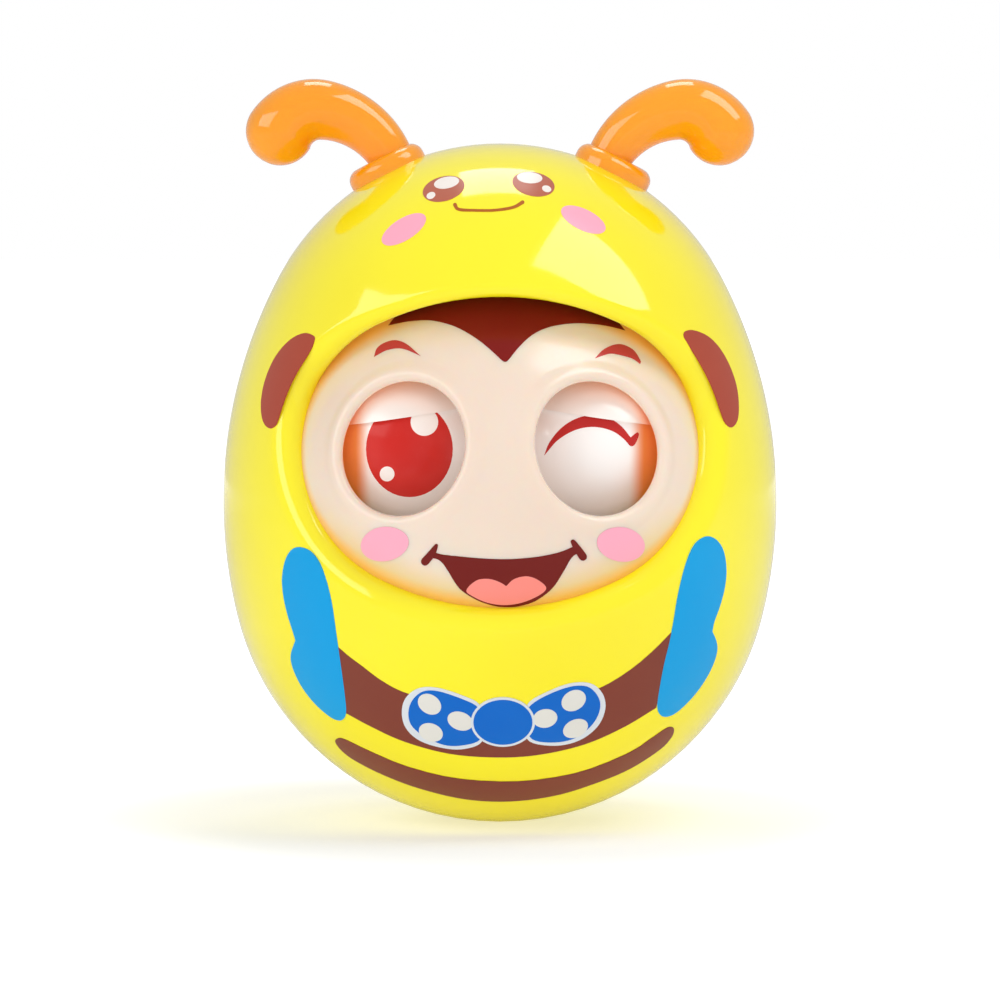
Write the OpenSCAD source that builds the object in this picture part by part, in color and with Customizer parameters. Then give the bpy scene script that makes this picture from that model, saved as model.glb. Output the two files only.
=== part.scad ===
// Roly-poly toy: an egg-shaped body with a bee hood, a doll's face whose eyes swing,
// a heavy base and a chime. Millimetres, +Z up, face towards -Y, origin at the resting flat.
// "left" is the toy's own left, on the +X side.

/* [Body] */
// Widest diameter of the egg
body_d = 90; // [88:1:100]
// Height from the resting flat to the crown
body_h = 110; // [108:1:120]
// How much smaller the ball of the base is than half the width
base_drop = 1; // [0.6:0.1:1.6]
// How much smaller the ball of the crown is than half the width
crown_drop = 4.3; // [4:0.1:5]
// Diameter of the small flat that the toy rests on
base_flat_d = 9; // [6:0.5:14]
// Thickness of the two body shells
wall = 2.2; // [1.8:0.1:2.6]
// Thickness of the tongues that line up the two shells
tongue_t = 0.9; // [0.7:0.1:1.1]
// How far the tongues reach into the back shell
tongue_h = 1.6; // [1:0.1:2.4]

/* [Face opening] */
// Width of the oval opening
opening_w = 62.6; // [56:0.2:64]
// Height of the oval opening
opening_h = 47.6; // [44:0.2:48]
// Radius of the oval's two ends
opening_end_r = 21.6; // [18:0.2:22.6]
// Distance from the crown down to the middle of the opening
opening_drop = 48.4; // [48:0.1:50]
// Thickness of the collar between the opening and the face
collar_t = 1.5; // [1.2:0.1:1.8]

/* [Face] */
// Outer radius of the ball that the face is cut from
face_r = 38; // [37:0.1:38.4]
// Thickness of the face
face_t = 1.8; // [1.4:0.1:2.2]
// How far the tip of the face lies behind the front of the body
face_recess = 1; // [0:0.1:2]
// Distance from the crown down to the middle of the face ball
face_drop = 55.5; // [54.5:0.5:56.5]
// Depth of the face from its tip to its back edge
face_depth = 26; // [24:0.5:27]
// Diameter of the two eye windows
window_d = 21.3; // [19:0.1:21.6]
// Angle of the eye windows out to the sides
window_yaw = 23.5; // [22:0.5:25]
// Angle of the eye windows upwards
window_pitch = 12.2; // [10:0.2:14]
// Radius of the soft bead round each eye window
bead_r = 1.4; // [1.2:0.1:1.5]
// How far the bead stands out of the face
bead_proud = 0.8; // [0.4:0.1:1.2]

/* [Eyes] */
// Distance between the middles of the two eyes
eye_spacing = 28.4; // [27.6:0.2:29]
// Distance from the crown down to the eye axle
eye_drop = 48; // [47:0.5:49]
// How far the eyelids lie behind the inside of the face
eye_depth = 0.55; // [0.4:0.05:1]
// Radius of the eyeballs
ball_r = 11.8; // [11.4:0.1:11.8]
// Wall of the eyeballs
ball_t = 1.4; // [1:0.1:1.8]
// Distance from an eyeball's middle to its flat sides
ball_flat = 10.9; // [10.6:0.1:11]
// Thickness of the eyelids
lid_t = 0.8; // [0.6:0.1:0.9]
// Height of the lid's edge above the eye axle
lid_edge_z = 5.1; // [3:0.1:7]
// Tilt of the lid's edge, lower on the outside
lid_tilt = 8.5; // [0:0.5:12]
// Diameter of the eye axle
axle_d = 2; // [1.6:0.1:2.4]
// Diameter of the slug that keeps an eye upright
slug_d = 5.2; // [4:0.1:5.4]
// Length of that slug
slug_l = 13; // [10:0.5:13.5]
// Distance of the slug below the axle
slug_drop = 5.2; // [4.6:0.1:5.4]

/* [Antennae] */
// Angle of the antennae away from the vertical
antenna_lean = 26.6; // [22:0.1:32]
// Diameter of the round flange on the crown
flange_d = 13; // [11:0.1:14]
// Thickness of the flange
flange_t = 2.3; // [1.6:0.1:3]
// Diameter of the stalk where it leaves the flange
stalk_d = 7.2; // [6:0.1:8]
// Diameter of the round tip
tip_d = 11.2; // [9:0.1:12]
// Radius of the stalk's long bend
bend_r = 14.6; // [13:0.1:16]
// How far the stalk turns over in the long bend
bend_turn = 58; // [50:1:66]
// Radius of the tight bend before the tip
hook_r = 7; // [6.6:0.1:8]
// How far the stalk turns over in the tight bend
hook_turn = 58; // [45:1:66]
// Diameter of the neck that the shells clamp
neck_d = 5.2; // [4.4:0.1:6]

/* [Base and chime] */
// Height of the counterweight's flat top above the resting flat
weight_top = 13.5; // [11:0.5:14]
// Distance of the chime's middle behind the body's axis
chime_y = 10; // [9:0.5:11]
// Diameter of the chime rods
rod_d = 2.4; // [2:0.1:2.8]
// Length of the shortest rod above the counterweight
rod_l = 29; // [28:0.5:32]
// Step in length from one rod to the next
rod_step = 2.5; // [0:0.5:3]
// Distance of the rods from the chime's middle
rod_ring_r = 9; // [8.8:0.1:9.4]
// Height of the hammer pin above the counterweight
pin_h = 46; // [44:0.5:48]
// Distance of the hammer's bead below its pin
hammer_drop = 19.5; // [18:0.5:21]
// Diameter of the hammer's bead
hammer_d = 10.8; // [10:0.1:11]
// Diameter of the hammer pin
pin_d = 2; // [1.6:0.1:2.4]

/* [Hidden] */
$fn = 96;
// Overrun of the cuts
over = 1;
// Clearance between pieces that are fixed to each other
seat_gap = 0.2;
// Radial clearance of pressed pins and rods
pin_gap = 0.02;
// Radial clearance of the turning bores
run_gap = 0.05;
// Side clearance of the turning pieces
side_gap = 0.3;

// Colours
yellow = "#FFF03C";
orange = "#FD9928";
skin = "#F2DFD0";
ivory = "#EBDFD9";
steel = "#B9BCC0";
iron = "#5A5753";
brass = "#C9A14A";
grey_plastic = "#C8C8C4";

// The egg's outline: a base arc, a side arc and a crown arc that run into each other
half_d = body_d / 2;
base_r = half_d - base_drop;
crown_r = half_d - crown_drop;
base_z = sqrt(pow(base_r, 2) - pow(base_flat_d / 2, 2));
crown_z = body_h - crown_r;
rise = crown_z - base_z;
arc_ratio = 1 - base_drop / crown_drop;
arc_term = pow(rise, 2) + base_drop * (crown_drop - base_drop);
side_fall = (rise - sqrt(pow(rise, 2) - arc_ratio * arc_term)) / arc_ratio;
side_back = (pow(side_fall, 2) - pow(crown_drop, 2)) / (2 * crown_drop);
side_r = half_d + side_back;
side_z = crown_z - side_fall;
// Heights at which the arcs run into each other
base_join_z = base_z + base_r * (base_z - side_z) / norm([side_back, base_z - side_z]);
crown_join_z = crown_z + crown_r * (crown_z - side_z) / norm([side_back, crown_z - side_z]);
function egg_radius(z) = z < base_join_z
    ? sqrt(pow(base_r, 2) - pow(z - base_z, 2))
    : z > crown_join_z
    ? sqrt(pow(crown_r, 2) - pow(z - crown_z, 2))
    : sqrt(pow(side_r, 2) - pow(z - side_z, 2)) - side_back;
// Far enough to lie outside every arc
reach = body_d + body_h;

// The tongues run between these heights on both sides of the parting line
tongue_break = 3;
tongue_rise = 4;
tongue_drop = 11.5;
tongue_spans = [
    [weight_top + tongue_rise, base_join_z - tongue_break],
    [base_join_z + tongue_break, crown_join_z - tongue_break],
    [crown_join_z + tongue_break, body_h - tongue_drop]
];

// Casing bosses, a pair above the counterweight and a pair below the crown
boss_edge = 7;
boss_rise = 14.5;
boss_drop = 35;
boss_low_z = weight_top + boss_rise;
boss_high_z = body_h - boss_drop;
boss_places = [
    for (s = [-1, 1], z = [boss_low_z, boss_high_z]) [s * (egg_radius(z) - boss_edge), z]
];
front_boss_d = 6.4;
back_boss_d = 8;
recess_d = 5.8;
shoulder_y = 6;

// Where the face ball, its back edge and its parts lie
face_z = body_h - face_drop;
face_y = -(half_d - face_recess - face_r);
face_back_y = face_y - face_r + face_depth;
face_edge_r = sqrt(pow(face_r, 2) - pow(face_y - face_back_y, 2));
opening_z = body_h - opening_drop;
window_r = window_d / 2;
face_ease = 0.5;
// The lugs: one above the face and two below it, inwards of the lower bosses
lug_r = 3.4;
lug_t = 2;
lug_out = 3.3;
lug_side = 8.8;
lug_ring_r = face_edge_r + lug_out;
lug_x = egg_radius(boss_low_z) - boss_edge - lug_side;
lug_fall = sqrt(pow(lug_ring_r, 2) - pow(lug_x, 2));
lug_steps = [[0, lug_ring_r], [-lug_x, -lug_fall], [lug_x, -lug_fall]];
lug_places = [for (p = lug_steps) [p[0], face_z + p[1]]];
lug_front_y = face_back_y - lug_t;

// Where the eyes turn
eye_x = eye_spacing / 2;
eye_z = body_h - eye_drop;
lid_r = ball_r + lid_t + seat_gap / 2;
eye_out = face_r - face_t - eye_depth - lid_r;
eye_y = face_y - sqrt(pow(eye_out, 2) - pow(eye_x, 2) - pow(eye_z - face_z, 2));
rib_x = 4.2;
rib_t = 1.2;
tail_w = 3;
tail_t = 2;
tail_proud = 0.9;
tail_r = lid_r + tail_proud;
tail_root = ball_r - ball_t / 2;

// The eye bracket behind the eyes
bracket_t = 2;
bracket_front_y = eye_y + tail_r + side_gap;
bracket_back_y = bracket_front_y + bracket_t;
ear_t = 2;
ear_r = 3.5;
ear_x = eye_x + ball_flat + side_gap;
post_w = 2 * (eye_x - ball_flat - side_gap);
bar_low = 8.5;
bar_high = 4;
stop_t = 2;
stop_w = 4;
upper_stop_y = 3;
upper_stop_z = lid_r + side_gap;
lower_stop_z = -6.2;
lower_stop_l = 1.9;
post_d = 5.2;
post_rise = 17.5;
post_fall = 18.5;
post_out = 13;
post_places = [[0, post_rise], [-post_out, -post_fall], [post_out, -post_fall]];
spine_w = 7;
foot_r = 3.6;

// Screws
screw_d = 2.4;
hole_d = 2.7;
head_d = 4.6;
head_h = 1.8;
slot_w = 0.8;
slot_l = 2.6;
slot_depth = 0.9;
face_screw_l = 8;
bracket_screw_l = 8;
bracket_tip_y = bracket_back_y - bracket_screw_l;
bridge_screw_l = 7;
shell_screw_l = 15;

// Counterweight and chime
ledge_t = 1.6;
ledge_in_r = 26;
ledge_z = weight_top + seat_gap;
weight_r = base_r - wall - seat_gap;
rod_sink = 6;
rod_places = [for (k = [0:3]) [rod_ring_r * cos(45 + 90 * k), chime_y + rod_ring_r * sin(45 + 90 * k)]];
pin_z = weight_top + pin_h;
bridge_leg_x = 10.8;
bridge_leg_t = 2.6;
bridge_w = 6;
bridge_t = 3;
bridge_clear = 0.9;
bridge_foot_l = 7;
bridge_foot_t = 2.4;
bridge_hole_l = bridge_screw_l - bridge_foot_t + seat_gap;
hub_r = 2.6;
hub_w = 5;
cheek_t = 2;
cheek_gap = 0.2;
hammer_rod_d = 2.2;
hammer_sink = 5;
bridge_beam_z = pin_z + hub_r + bridge_clear;
bridge_screw_x = bridge_leg_x + bridge_leg_t + bridge_foot_l / 2;

// Antenna
neck_gap = 0.1;
keeper_d = 8.4;
keeper_t = 1.5;
flange_round = 1.15;
flange_seat = 0.05;
stalk_sink = 1;
stalk_in = 1.4;
sweep_steps = 20;
cap_steps = 7;
sweep_sides = 28;

// A sector of a circle, between two directions given as points far away
module sector(centre, r, far_points) {
    intersection() {
        translate(centre) circle(r = r);
        polygon(concat([centre], far_points));
    }
}

// Half of the egg's outline, to the right of its axis, all round smaller by inset
module egg_outline(inset) {
    side_c = [-side_back, side_z];
    base_c = [0, base_z];
    crown_c = [0, crown_z];
    base_ray = (base_c - side_c) / norm(base_c - side_c);
    crown_ray = (crown_c - side_c) / norm(crown_c - side_c);
    base_far = base_c + reach * base_ray;
    crown_far = crown_c + reach * crown_ray;
    intersection() {
        square([reach, reach]);
        union() {
            sector(base_c, base_r - inset, [[0, -reach], [reach, -reach], base_far]);
            sector(crown_c, crown_r - inset, [crown_far, [reach, reach], [0, reach]]);
            intersection() {
                translate(side_c) rotate(180) circle(r = side_r - inset);
                polygon([base_c, base_far, crown_far, crown_c]);
            }
        }
    }
}

// The egg as a solid, all round smaller by inset, with its seam turned to the given direction
module egg(inset, seam) {
    rotate([0, 0, seam]) rotate_extrude() egg_outline(inset);
}

// A slab across the whole toy from one depth to another
module depth_slab(y0, y1) {
    translate([-reach, y0, -reach]) cube([2 * reach, y1 - y0, 2 * reach]);
}

// The egg smaller by inset where the tongues run, all round larger by grow, up to the depth y1
module tongue_room(inset, grow, y1) {
    intersection() {
        egg(inset, 90);
        for (span = tongue_spans) translate([-reach, -over, span[0] - grow])
            cube([2 * reach, y1 + over, span[1] - span[0] + 2 * grow]);
    }
}

// A cylinder along Y from y0 to y1
module y_rod(d, x, z, y0, y1) {
    translate([x, y1, z]) rotate([90, 0, 0]) cylinder(d = d, h = y1 - y0);
}

// A cylinder along X, centred
module x_rod(d, l) {
    rotate([0, 90, 0]) cylinder(d = d, h = l, center = true);
}

// An oval of four arcs
module oval(w, h, end_r) {
    a = w / 2 - end_r;
    b = h / 2;
    long_r = (pow(a, 2) + pow(b, 2) - pow(end_r, 2)) / (2 * (b - end_r));
    split = a * long_r / (long_r - end_r);
    union() {
        for (s = [-1, 1]) translate([s * a, 0]) circle(r = end_r);
        for (s = [-1, 1]) intersection() {
            translate([0, -s * (long_r - b)]) circle(r = long_r);
            translate([-split, s > 0 ? 0 : -b - over]) square([2 * split, b + over]);
        }
    }
}

// The face opening's outline as a prism, grown by grow, in front of the depth back_y
module opening_prism(grow, back_y) {
    translate([0, back_y, opening_z]) rotate([90, 0, 0]) linear_extrude(reach)
        oval(opening_w + 2 * grow, opening_h + 2 * grow, opening_end_r + grow);
}

// A pan-head screw along +Y: the shank runs towards -Y from the head's seat at y = 0
module screw(l) {
    difference() {
        union() {
            y_rod(head_d, 0, 0, 0, head_h);
            y_rod(screw_d - 2 * run_gap, 0, 0, -l, 0);
        }
        for (a = [0, 90]) rotate([0, a, 0])
            translate([-slot_l / 2, head_h - slot_depth, -slot_w / 2])
                cube([slot_l, slot_depth + over, slot_w]);
    }
}

// Both antenna bores along the crown's normals, with their seams turned to the given direction
module antenna_bores(seam) {
    for (s = [-1, 1]) translate([0, 0, crown_z]) rotate([0, s * antenna_lean, 0])
        translate([0, 0, crown_r - wall - over]) rotate([0, 0, seam])
            cylinder(d = neck_d + 2 * neck_gap, h = wall + 2 * over);
}

// The half ledge that holds the counterweight down
module weight_ledge(y0, y1) {
    intersection() {
        translate([0, 0, base_z]) sphere(r = base_r - wall / 2);
        depth_slab(y0, y1);
        translate([0, 0, ledge_z]) difference() {
            cylinder(r = half_d, h = ledge_t);
            translate([0, 0, -over]) cylinder(r = ledge_in_r, h = ledge_t + 2 * over);
        }
    }
}

// A post along Y that grows out of the shell's inside, rooted in the wall by the nearer ball
module shell_post(d, p, y0, y1) {
    low = p[1] < side_z;
    intersection() {
        translate([0, 0, low ? base_z : crown_z]) sphere(r = low ? base_r - wall / 2 : crown_r - wall / 4);
        y_rod(d, p[0], p[1], y0, y1);
    }
}

// The room that the face takes up behind the collar, eased a little towards its tip
module face_room() {
    translate([0, face_y, face_z]) rotate([90, 0, 0]) rotate_extrude() intersection() {
        translate([-face_ease, 0]) rotate(180) circle(r = face_r + seat_gap + face_ease);
        translate([0, -reach]) square([reach, 2 * reach]);
    }
}

// The oval wall from the shell's opening back to the face
module collar() {
    difference() {
        intersection() {
            difference() {
                opening_prism(collar_t, face_back_y);
                opening_prism(-collar_t, face_back_y + over);
            }
            egg(wall / 2, 90);
        }
        face_room();
    }
}

module front_shell() {
    color(yellow) difference() {
        union() {
            difference() {
                union() {
                    intersection() {
                        egg(0, 90);
                        depth_slab(-reach, 0);
                    }
                    tongue_room(wall - tongue_t, 0, tongue_h);
                }
                egg(wall, 90);
            }
            collar();
            for (p = boss_places) shell_post(front_boss_d, p, -reach, 0);
            for (p = lug_places) shell_post(2 * lug_r, p, -reach, lug_front_y);
            weight_ledge(-reach, 0);
        }
        opening_prism(0, face_back_y);
        for (p = boss_places) y_rod(screw_d, p[0], p[1], shoulder_y - shell_screw_l - over, over);
        for (p = lug_places)
            y_rod(screw_d, p[0], p[1], face_back_y - face_screw_l - seat_gap, lug_front_y + over);
        antenna_bores(90);
    }
}

module back_shell() {
    color(yellow) difference() {
        union() {
            difference() {
                intersection() {
                    egg(0, -90);
                    depth_slab(0, reach);
                }
                egg(wall, -90);
                tongue_room(wall - tongue_t - seat_gap, seat_gap, tongue_h + seat_gap);
            }
            for (p = boss_places) shell_post(back_boss_d, p, 0, reach);
            weight_ledge(0, reach);
        }
        for (p = boss_places) {
            y_rod(hole_d, p[0], p[1], -over, shoulder_y + over);
            y_rod(recess_d, p[0], p[1], shoulder_y, reach);
        }
        antenna_bores(-90);
    }
}

module shell_screws() {
    color(steel) for (p = boss_places) translate([p[0], shoulder_y, p[1]]) screw(shell_screw_l);
}

// The stalk's centre line in the plane of its two bends. Headings are measured from the vertical,
// and t is the share of the way from the flange to the tip
function outward(a) = [-cos(a), sin(a)];
stalk_base_s = crown_r + flange_t - stalk_sink;
stalk_base = [0, crown_z] + stalk_base_s * [sin(antenna_lean), cos(antenna_lean)]
    + stalk_in * outward(antenna_lean);
hook_heading = antenna_lean + bend_turn;
bend_c = stalk_base - bend_r * outward(antenna_lean);
hook_c = bend_c + (bend_r - hook_r) * outward(hook_heading);
bend_share = bend_r * bend_turn / (bend_r * bend_turn + hook_r * hook_turn);
function bend_heading(t) = t < bend_share
    ? antenna_lean + bend_turn * t / bend_share
    : hook_heading + hook_turn * (t - bend_share) / (1 - bend_share);
function bend_place(t) = t < bend_share
    ? bend_c + bend_r * outward(bend_heading(t))
    : hook_c + hook_r * outward(bend_heading(t));
function stalk_r(t) = (stalk_d + (tip_d - stalk_d) * t) / 2;
function ring(place, heading, r) = [
    for (j = [0:sweep_sides - 1])
        let (a = 360 * j / sweep_sides)
        [place[0] + r * cos(a) * cos(heading), r * sin(a), place[1] - r * cos(a) * sin(heading)]
];
end_heading = bend_heading(1);
tip_place = bend_place(1);
tip_r = tip_d / 2;
stalk_rings = [
    for (i = [0:sweep_steps])
        ring(bend_place(i / sweep_steps), bend_heading(i / sweep_steps), stalk_r(i / sweep_steps)),
    for (k = [1:cap_steps - 1])
        let (a = 90 * k / cap_steps)
        ring(tip_place + tip_r * sin(a) * [sin(end_heading), cos(end_heading)], end_heading, tip_r * cos(a))
];
ring_count = sweep_steps + cap_steps;
tip_end = tip_place + tip_r * [sin(end_heading), cos(end_heading)];
stalk_points = concat(
    [for (r = stalk_rings) each r],
    [[stalk_base[0], 0, stalk_base[1]], [tip_end[0], 0, tip_end[1]]]
);
function at(i, j) = i * sweep_sides + j % sweep_sides;
stalk_faces = [
    for (i = [0:ring_count - 2], j = [0:sweep_sides - 1])
        each [[at(i, j), at(i + 1, j), at(i, j + 1)], [at(i, j + 1), at(i + 1, j), at(i + 1, j + 1)]],
    for (j = [0:sweep_sides - 1])
        each [
            [at(0, j), at(0, j + 1), ring_count * sweep_sides],
            [at(ring_count - 1, j + 1), at(ring_count - 1, j), ring_count * sweep_sides + 1]
        ]
];

// An antenna on the +X side: hooked stalk, flange, neck and the keeper inside the shells
module antenna() {
    keeper_s = sqrt(pow(crown_r - wall, 2) - pow(keeper_d / 2, 2)) - seat_gap / 2;
    union() {
        polyhedron(points = stalk_points, faces = stalk_faces);
        translate([0, 0, crown_z]) rotate([0, antenna_lean, 0]) {
            difference() {
                rotate_extrude() intersection() {
                    translate([0, crown_r - flange_t]) square([flange_d, 2 * flange_t]);
                    union() {
                        translate([flange_d / 2 - flange_round, crown_r + flange_t - flange_round])
                            circle(r = flange_round);
                        translate([0, crown_r - flange_t])
                            square([flange_d / 2 - flange_round, 2 * flange_t]);
                        translate([0, crown_r - flange_t])
                            square([flange_d / 2, 2 * flange_t - flange_round]);
                    }
                }
                sphere(r = crown_r + flange_seat);
            }
            translate([0, 0, keeper_s - keeper_t]) cylinder(d = keeper_d, h = keeper_t);
            translate([0, 0, keeper_s - keeper_t]) cylinder(d = neck_d, h = crown_r + flange_t - keeper_s);
        }
    }
}

module left_antenna() {
    color(orange) antenna();
}

module right_antenna() {
    color(orange) mirror([1, 0, 0]) antenna();
}

// Puts what lies along +Z on an eye window's axis, seen from the face ball's middle
module at_window(side) {
    translate([0, face_y, face_z]) rotate([0, 0, side * window_yaw]) rotate([90 - window_pitch, 0, 0])
        children();
}

// The shell's wall with a clearance inside it, but for the face opening
module shell_room() {
    difference() {
        egg(-over, 90);
        egg(wall + seat_gap, 90);
        opening_prism(0, face_back_y);
    }
}

module face_mask() {
    bead_c = face_r + bead_proud - bead_r;
    bead_ring_r = window_r + bead_r - bead_proud / 2;
    color(skin) difference() {
        union() {
            intersection() {
                translate([0, face_y, face_z]) difference() {
                    sphere(r = face_r);
                    sphere(r = face_r - face_t);
                }
                depth_slab(-reach, face_back_y);
            }
            for (s = [-1, 1]) at_window(s) rotate_extrude()
                translate([bead_ring_r, sqrt(pow(bead_c, 2) - pow(bead_ring_r, 2))]) circle(r = bead_r);
            difference() {
                for (p = lug_steps) translate([0, face_back_y, face_z]) {
                    y_rod(2 * lug_r, p[0], p[1], -lug_t, 0);
                    rotate([0, -atan2(p[1], p[0]), 0]) translate([0, -lug_t, -lug_r])
                        cube([lug_ring_r, lug_t, 2 * lug_r]);
                }
                translate([0, face_y, face_z]) sphere(r = face_r - face_t / 2);
            }
            intersection() {
                translate([0, face_y, face_z]) sphere(r = face_r - face_t / 2);
                for (p = post_places) y_rod(post_d, p[0], eye_z + p[1], -reach, bracket_front_y);
            }
        }
        shell_room();
        for (s = [-1, 1]) at_window(s) cylinder(r = window_r, h = face_r + reach);
        for (p = lug_places) y_rod(hole_d, p[0], p[1], lug_front_y - over, face_back_y + over);
        for (p = post_places)
            y_rod(screw_d, p[0], eye_z + p[1], bracket_tip_y - seat_gap, bracket_front_y + over);
    }
}

module face_screws() {
    color(steel) for (p = lug_places) translate([p[0], face_back_y, p[1]]) screw(face_screw_l);
}

module eye_bracket() {
    color(grey_plastic) translate([0, 0, eye_z]) difference() {
        union() {
            translate([0, bracket_back_y, 0]) rotate([90, 0, 0]) linear_extrude(bracket_t) {
                translate([-ear_x - ear_t, -bar_low]) square([2 * (ear_x + ear_t), bar_low + bar_high]);
                translate([-spine_w / 2, -post_fall]) square([spine_w, post_rise + post_fall]);
                translate([-eye_x - stop_w / 2, upper_stop_z]) square([2 * eye_x + stop_w, 2 * stop_t]);
                translate([-post_out, -post_fall - foot_r / 2]) square([2 * post_out, foot_r]);
                for (p = post_places) translate(p) circle(r = foot_r);
            }
            for (s = [-1, 1]) translate([s * (ear_x + ear_t / 2), eye_y, 0]) {
                x_rod(2 * ear_r, ear_t);
                translate([-ear_t / 2, 0, -ear_r]) cube([ear_t, bracket_back_y - eye_y, 2 * ear_r]);
            }
            translate([0, eye_y, 0]) {
                x_rod(2 * ear_r, post_w);
                translate([-post_w / 2, 0, -ear_r]) cube([post_w, bracket_back_y - eye_y, 2 * ear_r]);
            }
            for (s = [-1, 1]) translate([s * eye_x - stop_w / 2, 0, 0]) {
                translate([0, eye_y + upper_stop_y, upper_stop_z])
                    cube([stop_w, bracket_back_y - eye_y - upper_stop_y, stop_t]);
                translate([0, bracket_front_y - lower_stop_l, lower_stop_z - stop_t])
                    cube([stop_w, lower_stop_l + bracket_t, stop_t]);
            }
        }
        translate([0, eye_y, 0]) x_rod(axle_d + 2 * pin_gap, 2 * (ear_x + ear_t + over));
        for (p = post_places) y_rod(hole_d, p[0], p[1], bracket_front_y - over, bracket_back_y + over);
    }
}

module bracket_screws() {
    color(steel) for (p = post_places)
        translate([p[0], bracket_back_y, eye_z + p[1]]) screw(bracket_screw_l);
}

module eye_axle() {
    color(steel) translate([0, eye_y, eye_z]) x_rod(axle_d, 2 * (ear_x + ear_t));
}

// A ball between two flat sides
module flat_ball(r, flat) {
    intersection() {
        sphere(r = r);
        cube([2 * flat, 2 * r + over, 2 * r + over], center = true);
    }
}

// One half of a hollow eyeball with two ribs that hold the slug: front is -1, back is 1
module ball_half(half) {
    y0 = half < 0 ? -reach : 0;
    y1 = half < 0 ? 0 : reach;
    intersection() {
        difference() {
            flat_ball(ball_r, ball_flat);
            flat_ball(ball_r - ball_t, ball_flat - ball_t);
            x_rod(axle_d + 2 * run_gap, 2 * (ball_flat + over));
        }
        depth_slab(y0, y1);
    }
    for (s = [-1, 1]) translate([s * rib_x, 0, 0]) intersection() {
        difference() {
            x_rod(2 * (ball_r - ball_t), rib_t);
            x_rod(axle_d + 2 * run_gap, rib_t + over);
            translate([0, 0, -slug_drop]) x_rod(slug_d + 2 * run_gap, rib_t + over);
        }
        depth_slab(y0, y1);
    }
}

module at_eye(side) {
    translate([side * eye_x, eye_y, eye_z]) children();
}

module eyeball(side) {
    color(ivory) at_eye(side) ball_half(-1);
}

// The back half carries the tail that runs against the bracket's stops
module eye_back(side) {
    color(ivory) at_eye(side) {
        ball_half(1);
        translate([-tail_w / 2, tail_root, -tail_t / 2]) cube([tail_w, tail_r - tail_root, tail_t]);
    }
}

module eyelid(side) {
    color(skin) at_eye(side) intersection() {
        difference() {
            flat_ball(lid_r, ball_flat);
            sphere(r = lid_r - lid_t);
        }
        rotate([0, side * lid_tilt, 0])
            translate([-reach, -reach, lid_edge_z]) cube([2 * reach, 2 * reach, reach]);
    }
}

module eye_weight(side) {
    color(steel) at_eye(side) translate([0, 0, -slug_drop]) x_rod(slug_d, slug_l);
}

module left_eyeball() { eyeball(1); }
module left_eye_back() { eye_back(1); }
module left_eyelid() { eyelid(1); }
module left_eye_weight() { eye_weight(1); }
module right_eyeball() { eyeball(-1); }
module right_eye_back() { eye_back(-1); }
module right_eyelid() { eyelid(-1); }
module right_eye_weight() { eye_weight(-1); }

// A cast bowl segment that lies in the base, with blind holes for the chime
module counterweight() {
    color(iron) difference() {
        intersection() {
            translate([0, 0, base_z]) sphere(r = weight_r);
            translate([-reach, -reach, 0]) cube([2 * reach, 2 * reach, weight_top]);
        }
        for (p = rod_places) translate([p[0], p[1], weight_top - rod_sink])
            cylinder(d = rod_d + 2 * pin_gap, h = rod_sink + over);
        for (s = [-1, 1]) translate([s * bridge_screw_x, chime_y, weight_top - bridge_hole_l])
            cylinder(d = screw_d, h = bridge_hole_l + over);
    }
}

module chime_rods() {
    color(steel) for (k = [0:3])
        translate([rod_places[k][0], rod_places[k][1], weight_top - rod_sink])
            cylinder(d = rod_d, h = rod_sink + rod_l + k * rod_step);
}

// An arch over the rods: two legs with feet, a beam and the cheeks for the hammer pin
module chime_bridge() {
    leg_out = bridge_leg_x + bridge_leg_t;
    cheek_x = hub_w / 2 + cheek_gap;
    color(grey_plastic) translate([0, chime_y, 0]) difference() {
        union() {
            translate([-leg_out, -bridge_w / 2, bridge_beam_z]) cube([2 * leg_out, bridge_w, bridge_t]);
            for (s = [0, 1]) mirror([s, 0, 0]) {
                translate([bridge_leg_x, -bridge_w / 2, weight_top])
                    cube([bridge_leg_t, bridge_w, bridge_beam_z + bridge_t - weight_top]);
                translate([bridge_leg_x, -bridge_w / 2, weight_top])
                    cube([bridge_leg_t + bridge_foot_l, bridge_w, bridge_foot_t]);
                translate([cheek_x, -bridge_w / 2, pin_z])
                    cube([cheek_t, bridge_w, bridge_beam_z + bridge_t - pin_z]);
                translate([cheek_x + cheek_t / 2, 0, pin_z]) x_rod(bridge_w, cheek_t);
            }
        }
        translate([0, 0, pin_z]) x_rod(pin_d + 2 * pin_gap, 2 * (cheek_x + cheek_t + over));
        for (s = [-1, 1]) translate([s * bridge_screw_x, 0, weight_top - over])
            cylinder(d = hole_d, h = bridge_foot_t + 2 * over);
    }
}

module bridge_screws() {
    color(steel) for (s = [-1, 1])
        translate([s * bridge_screw_x, chime_y, weight_top + bridge_foot_t])
            rotate([90, 0, 0]) screw(bridge_screw_l);
}

module hammer_pin() {
    color(steel) translate([0, chime_y, pin_z]) x_rod(pin_d, 2 * (hub_w / 2 + cheek_gap + cheek_t));
}

module hammer_arm() {
    rod_end = hammer_drop + hammer_d / 2 - hammer_sink;
    color(grey_plastic) translate([0, chime_y, pin_z]) difference() {
        union() {
            x_rod(2 * hub_r, hub_w);
            translate([0, 0, -hammer_drop - hammer_d / 2 + hammer_sink])
                cylinder(d = hammer_rod_d, h = rod_end);
        }
        x_rod(pin_d + 2 * run_gap, hub_w + 2 * over);
    }
}

module hammer_bead() {
    color(brass) translate([0, chime_y, pin_z - hammer_drop]) difference() {
        sphere(d = hammer_d);
        translate([0, 0, hammer_sink - hammer_d / 2])
            cylinder(d = hammer_rod_d + 2 * pin_gap, h = hammer_d);
    }
}

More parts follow.
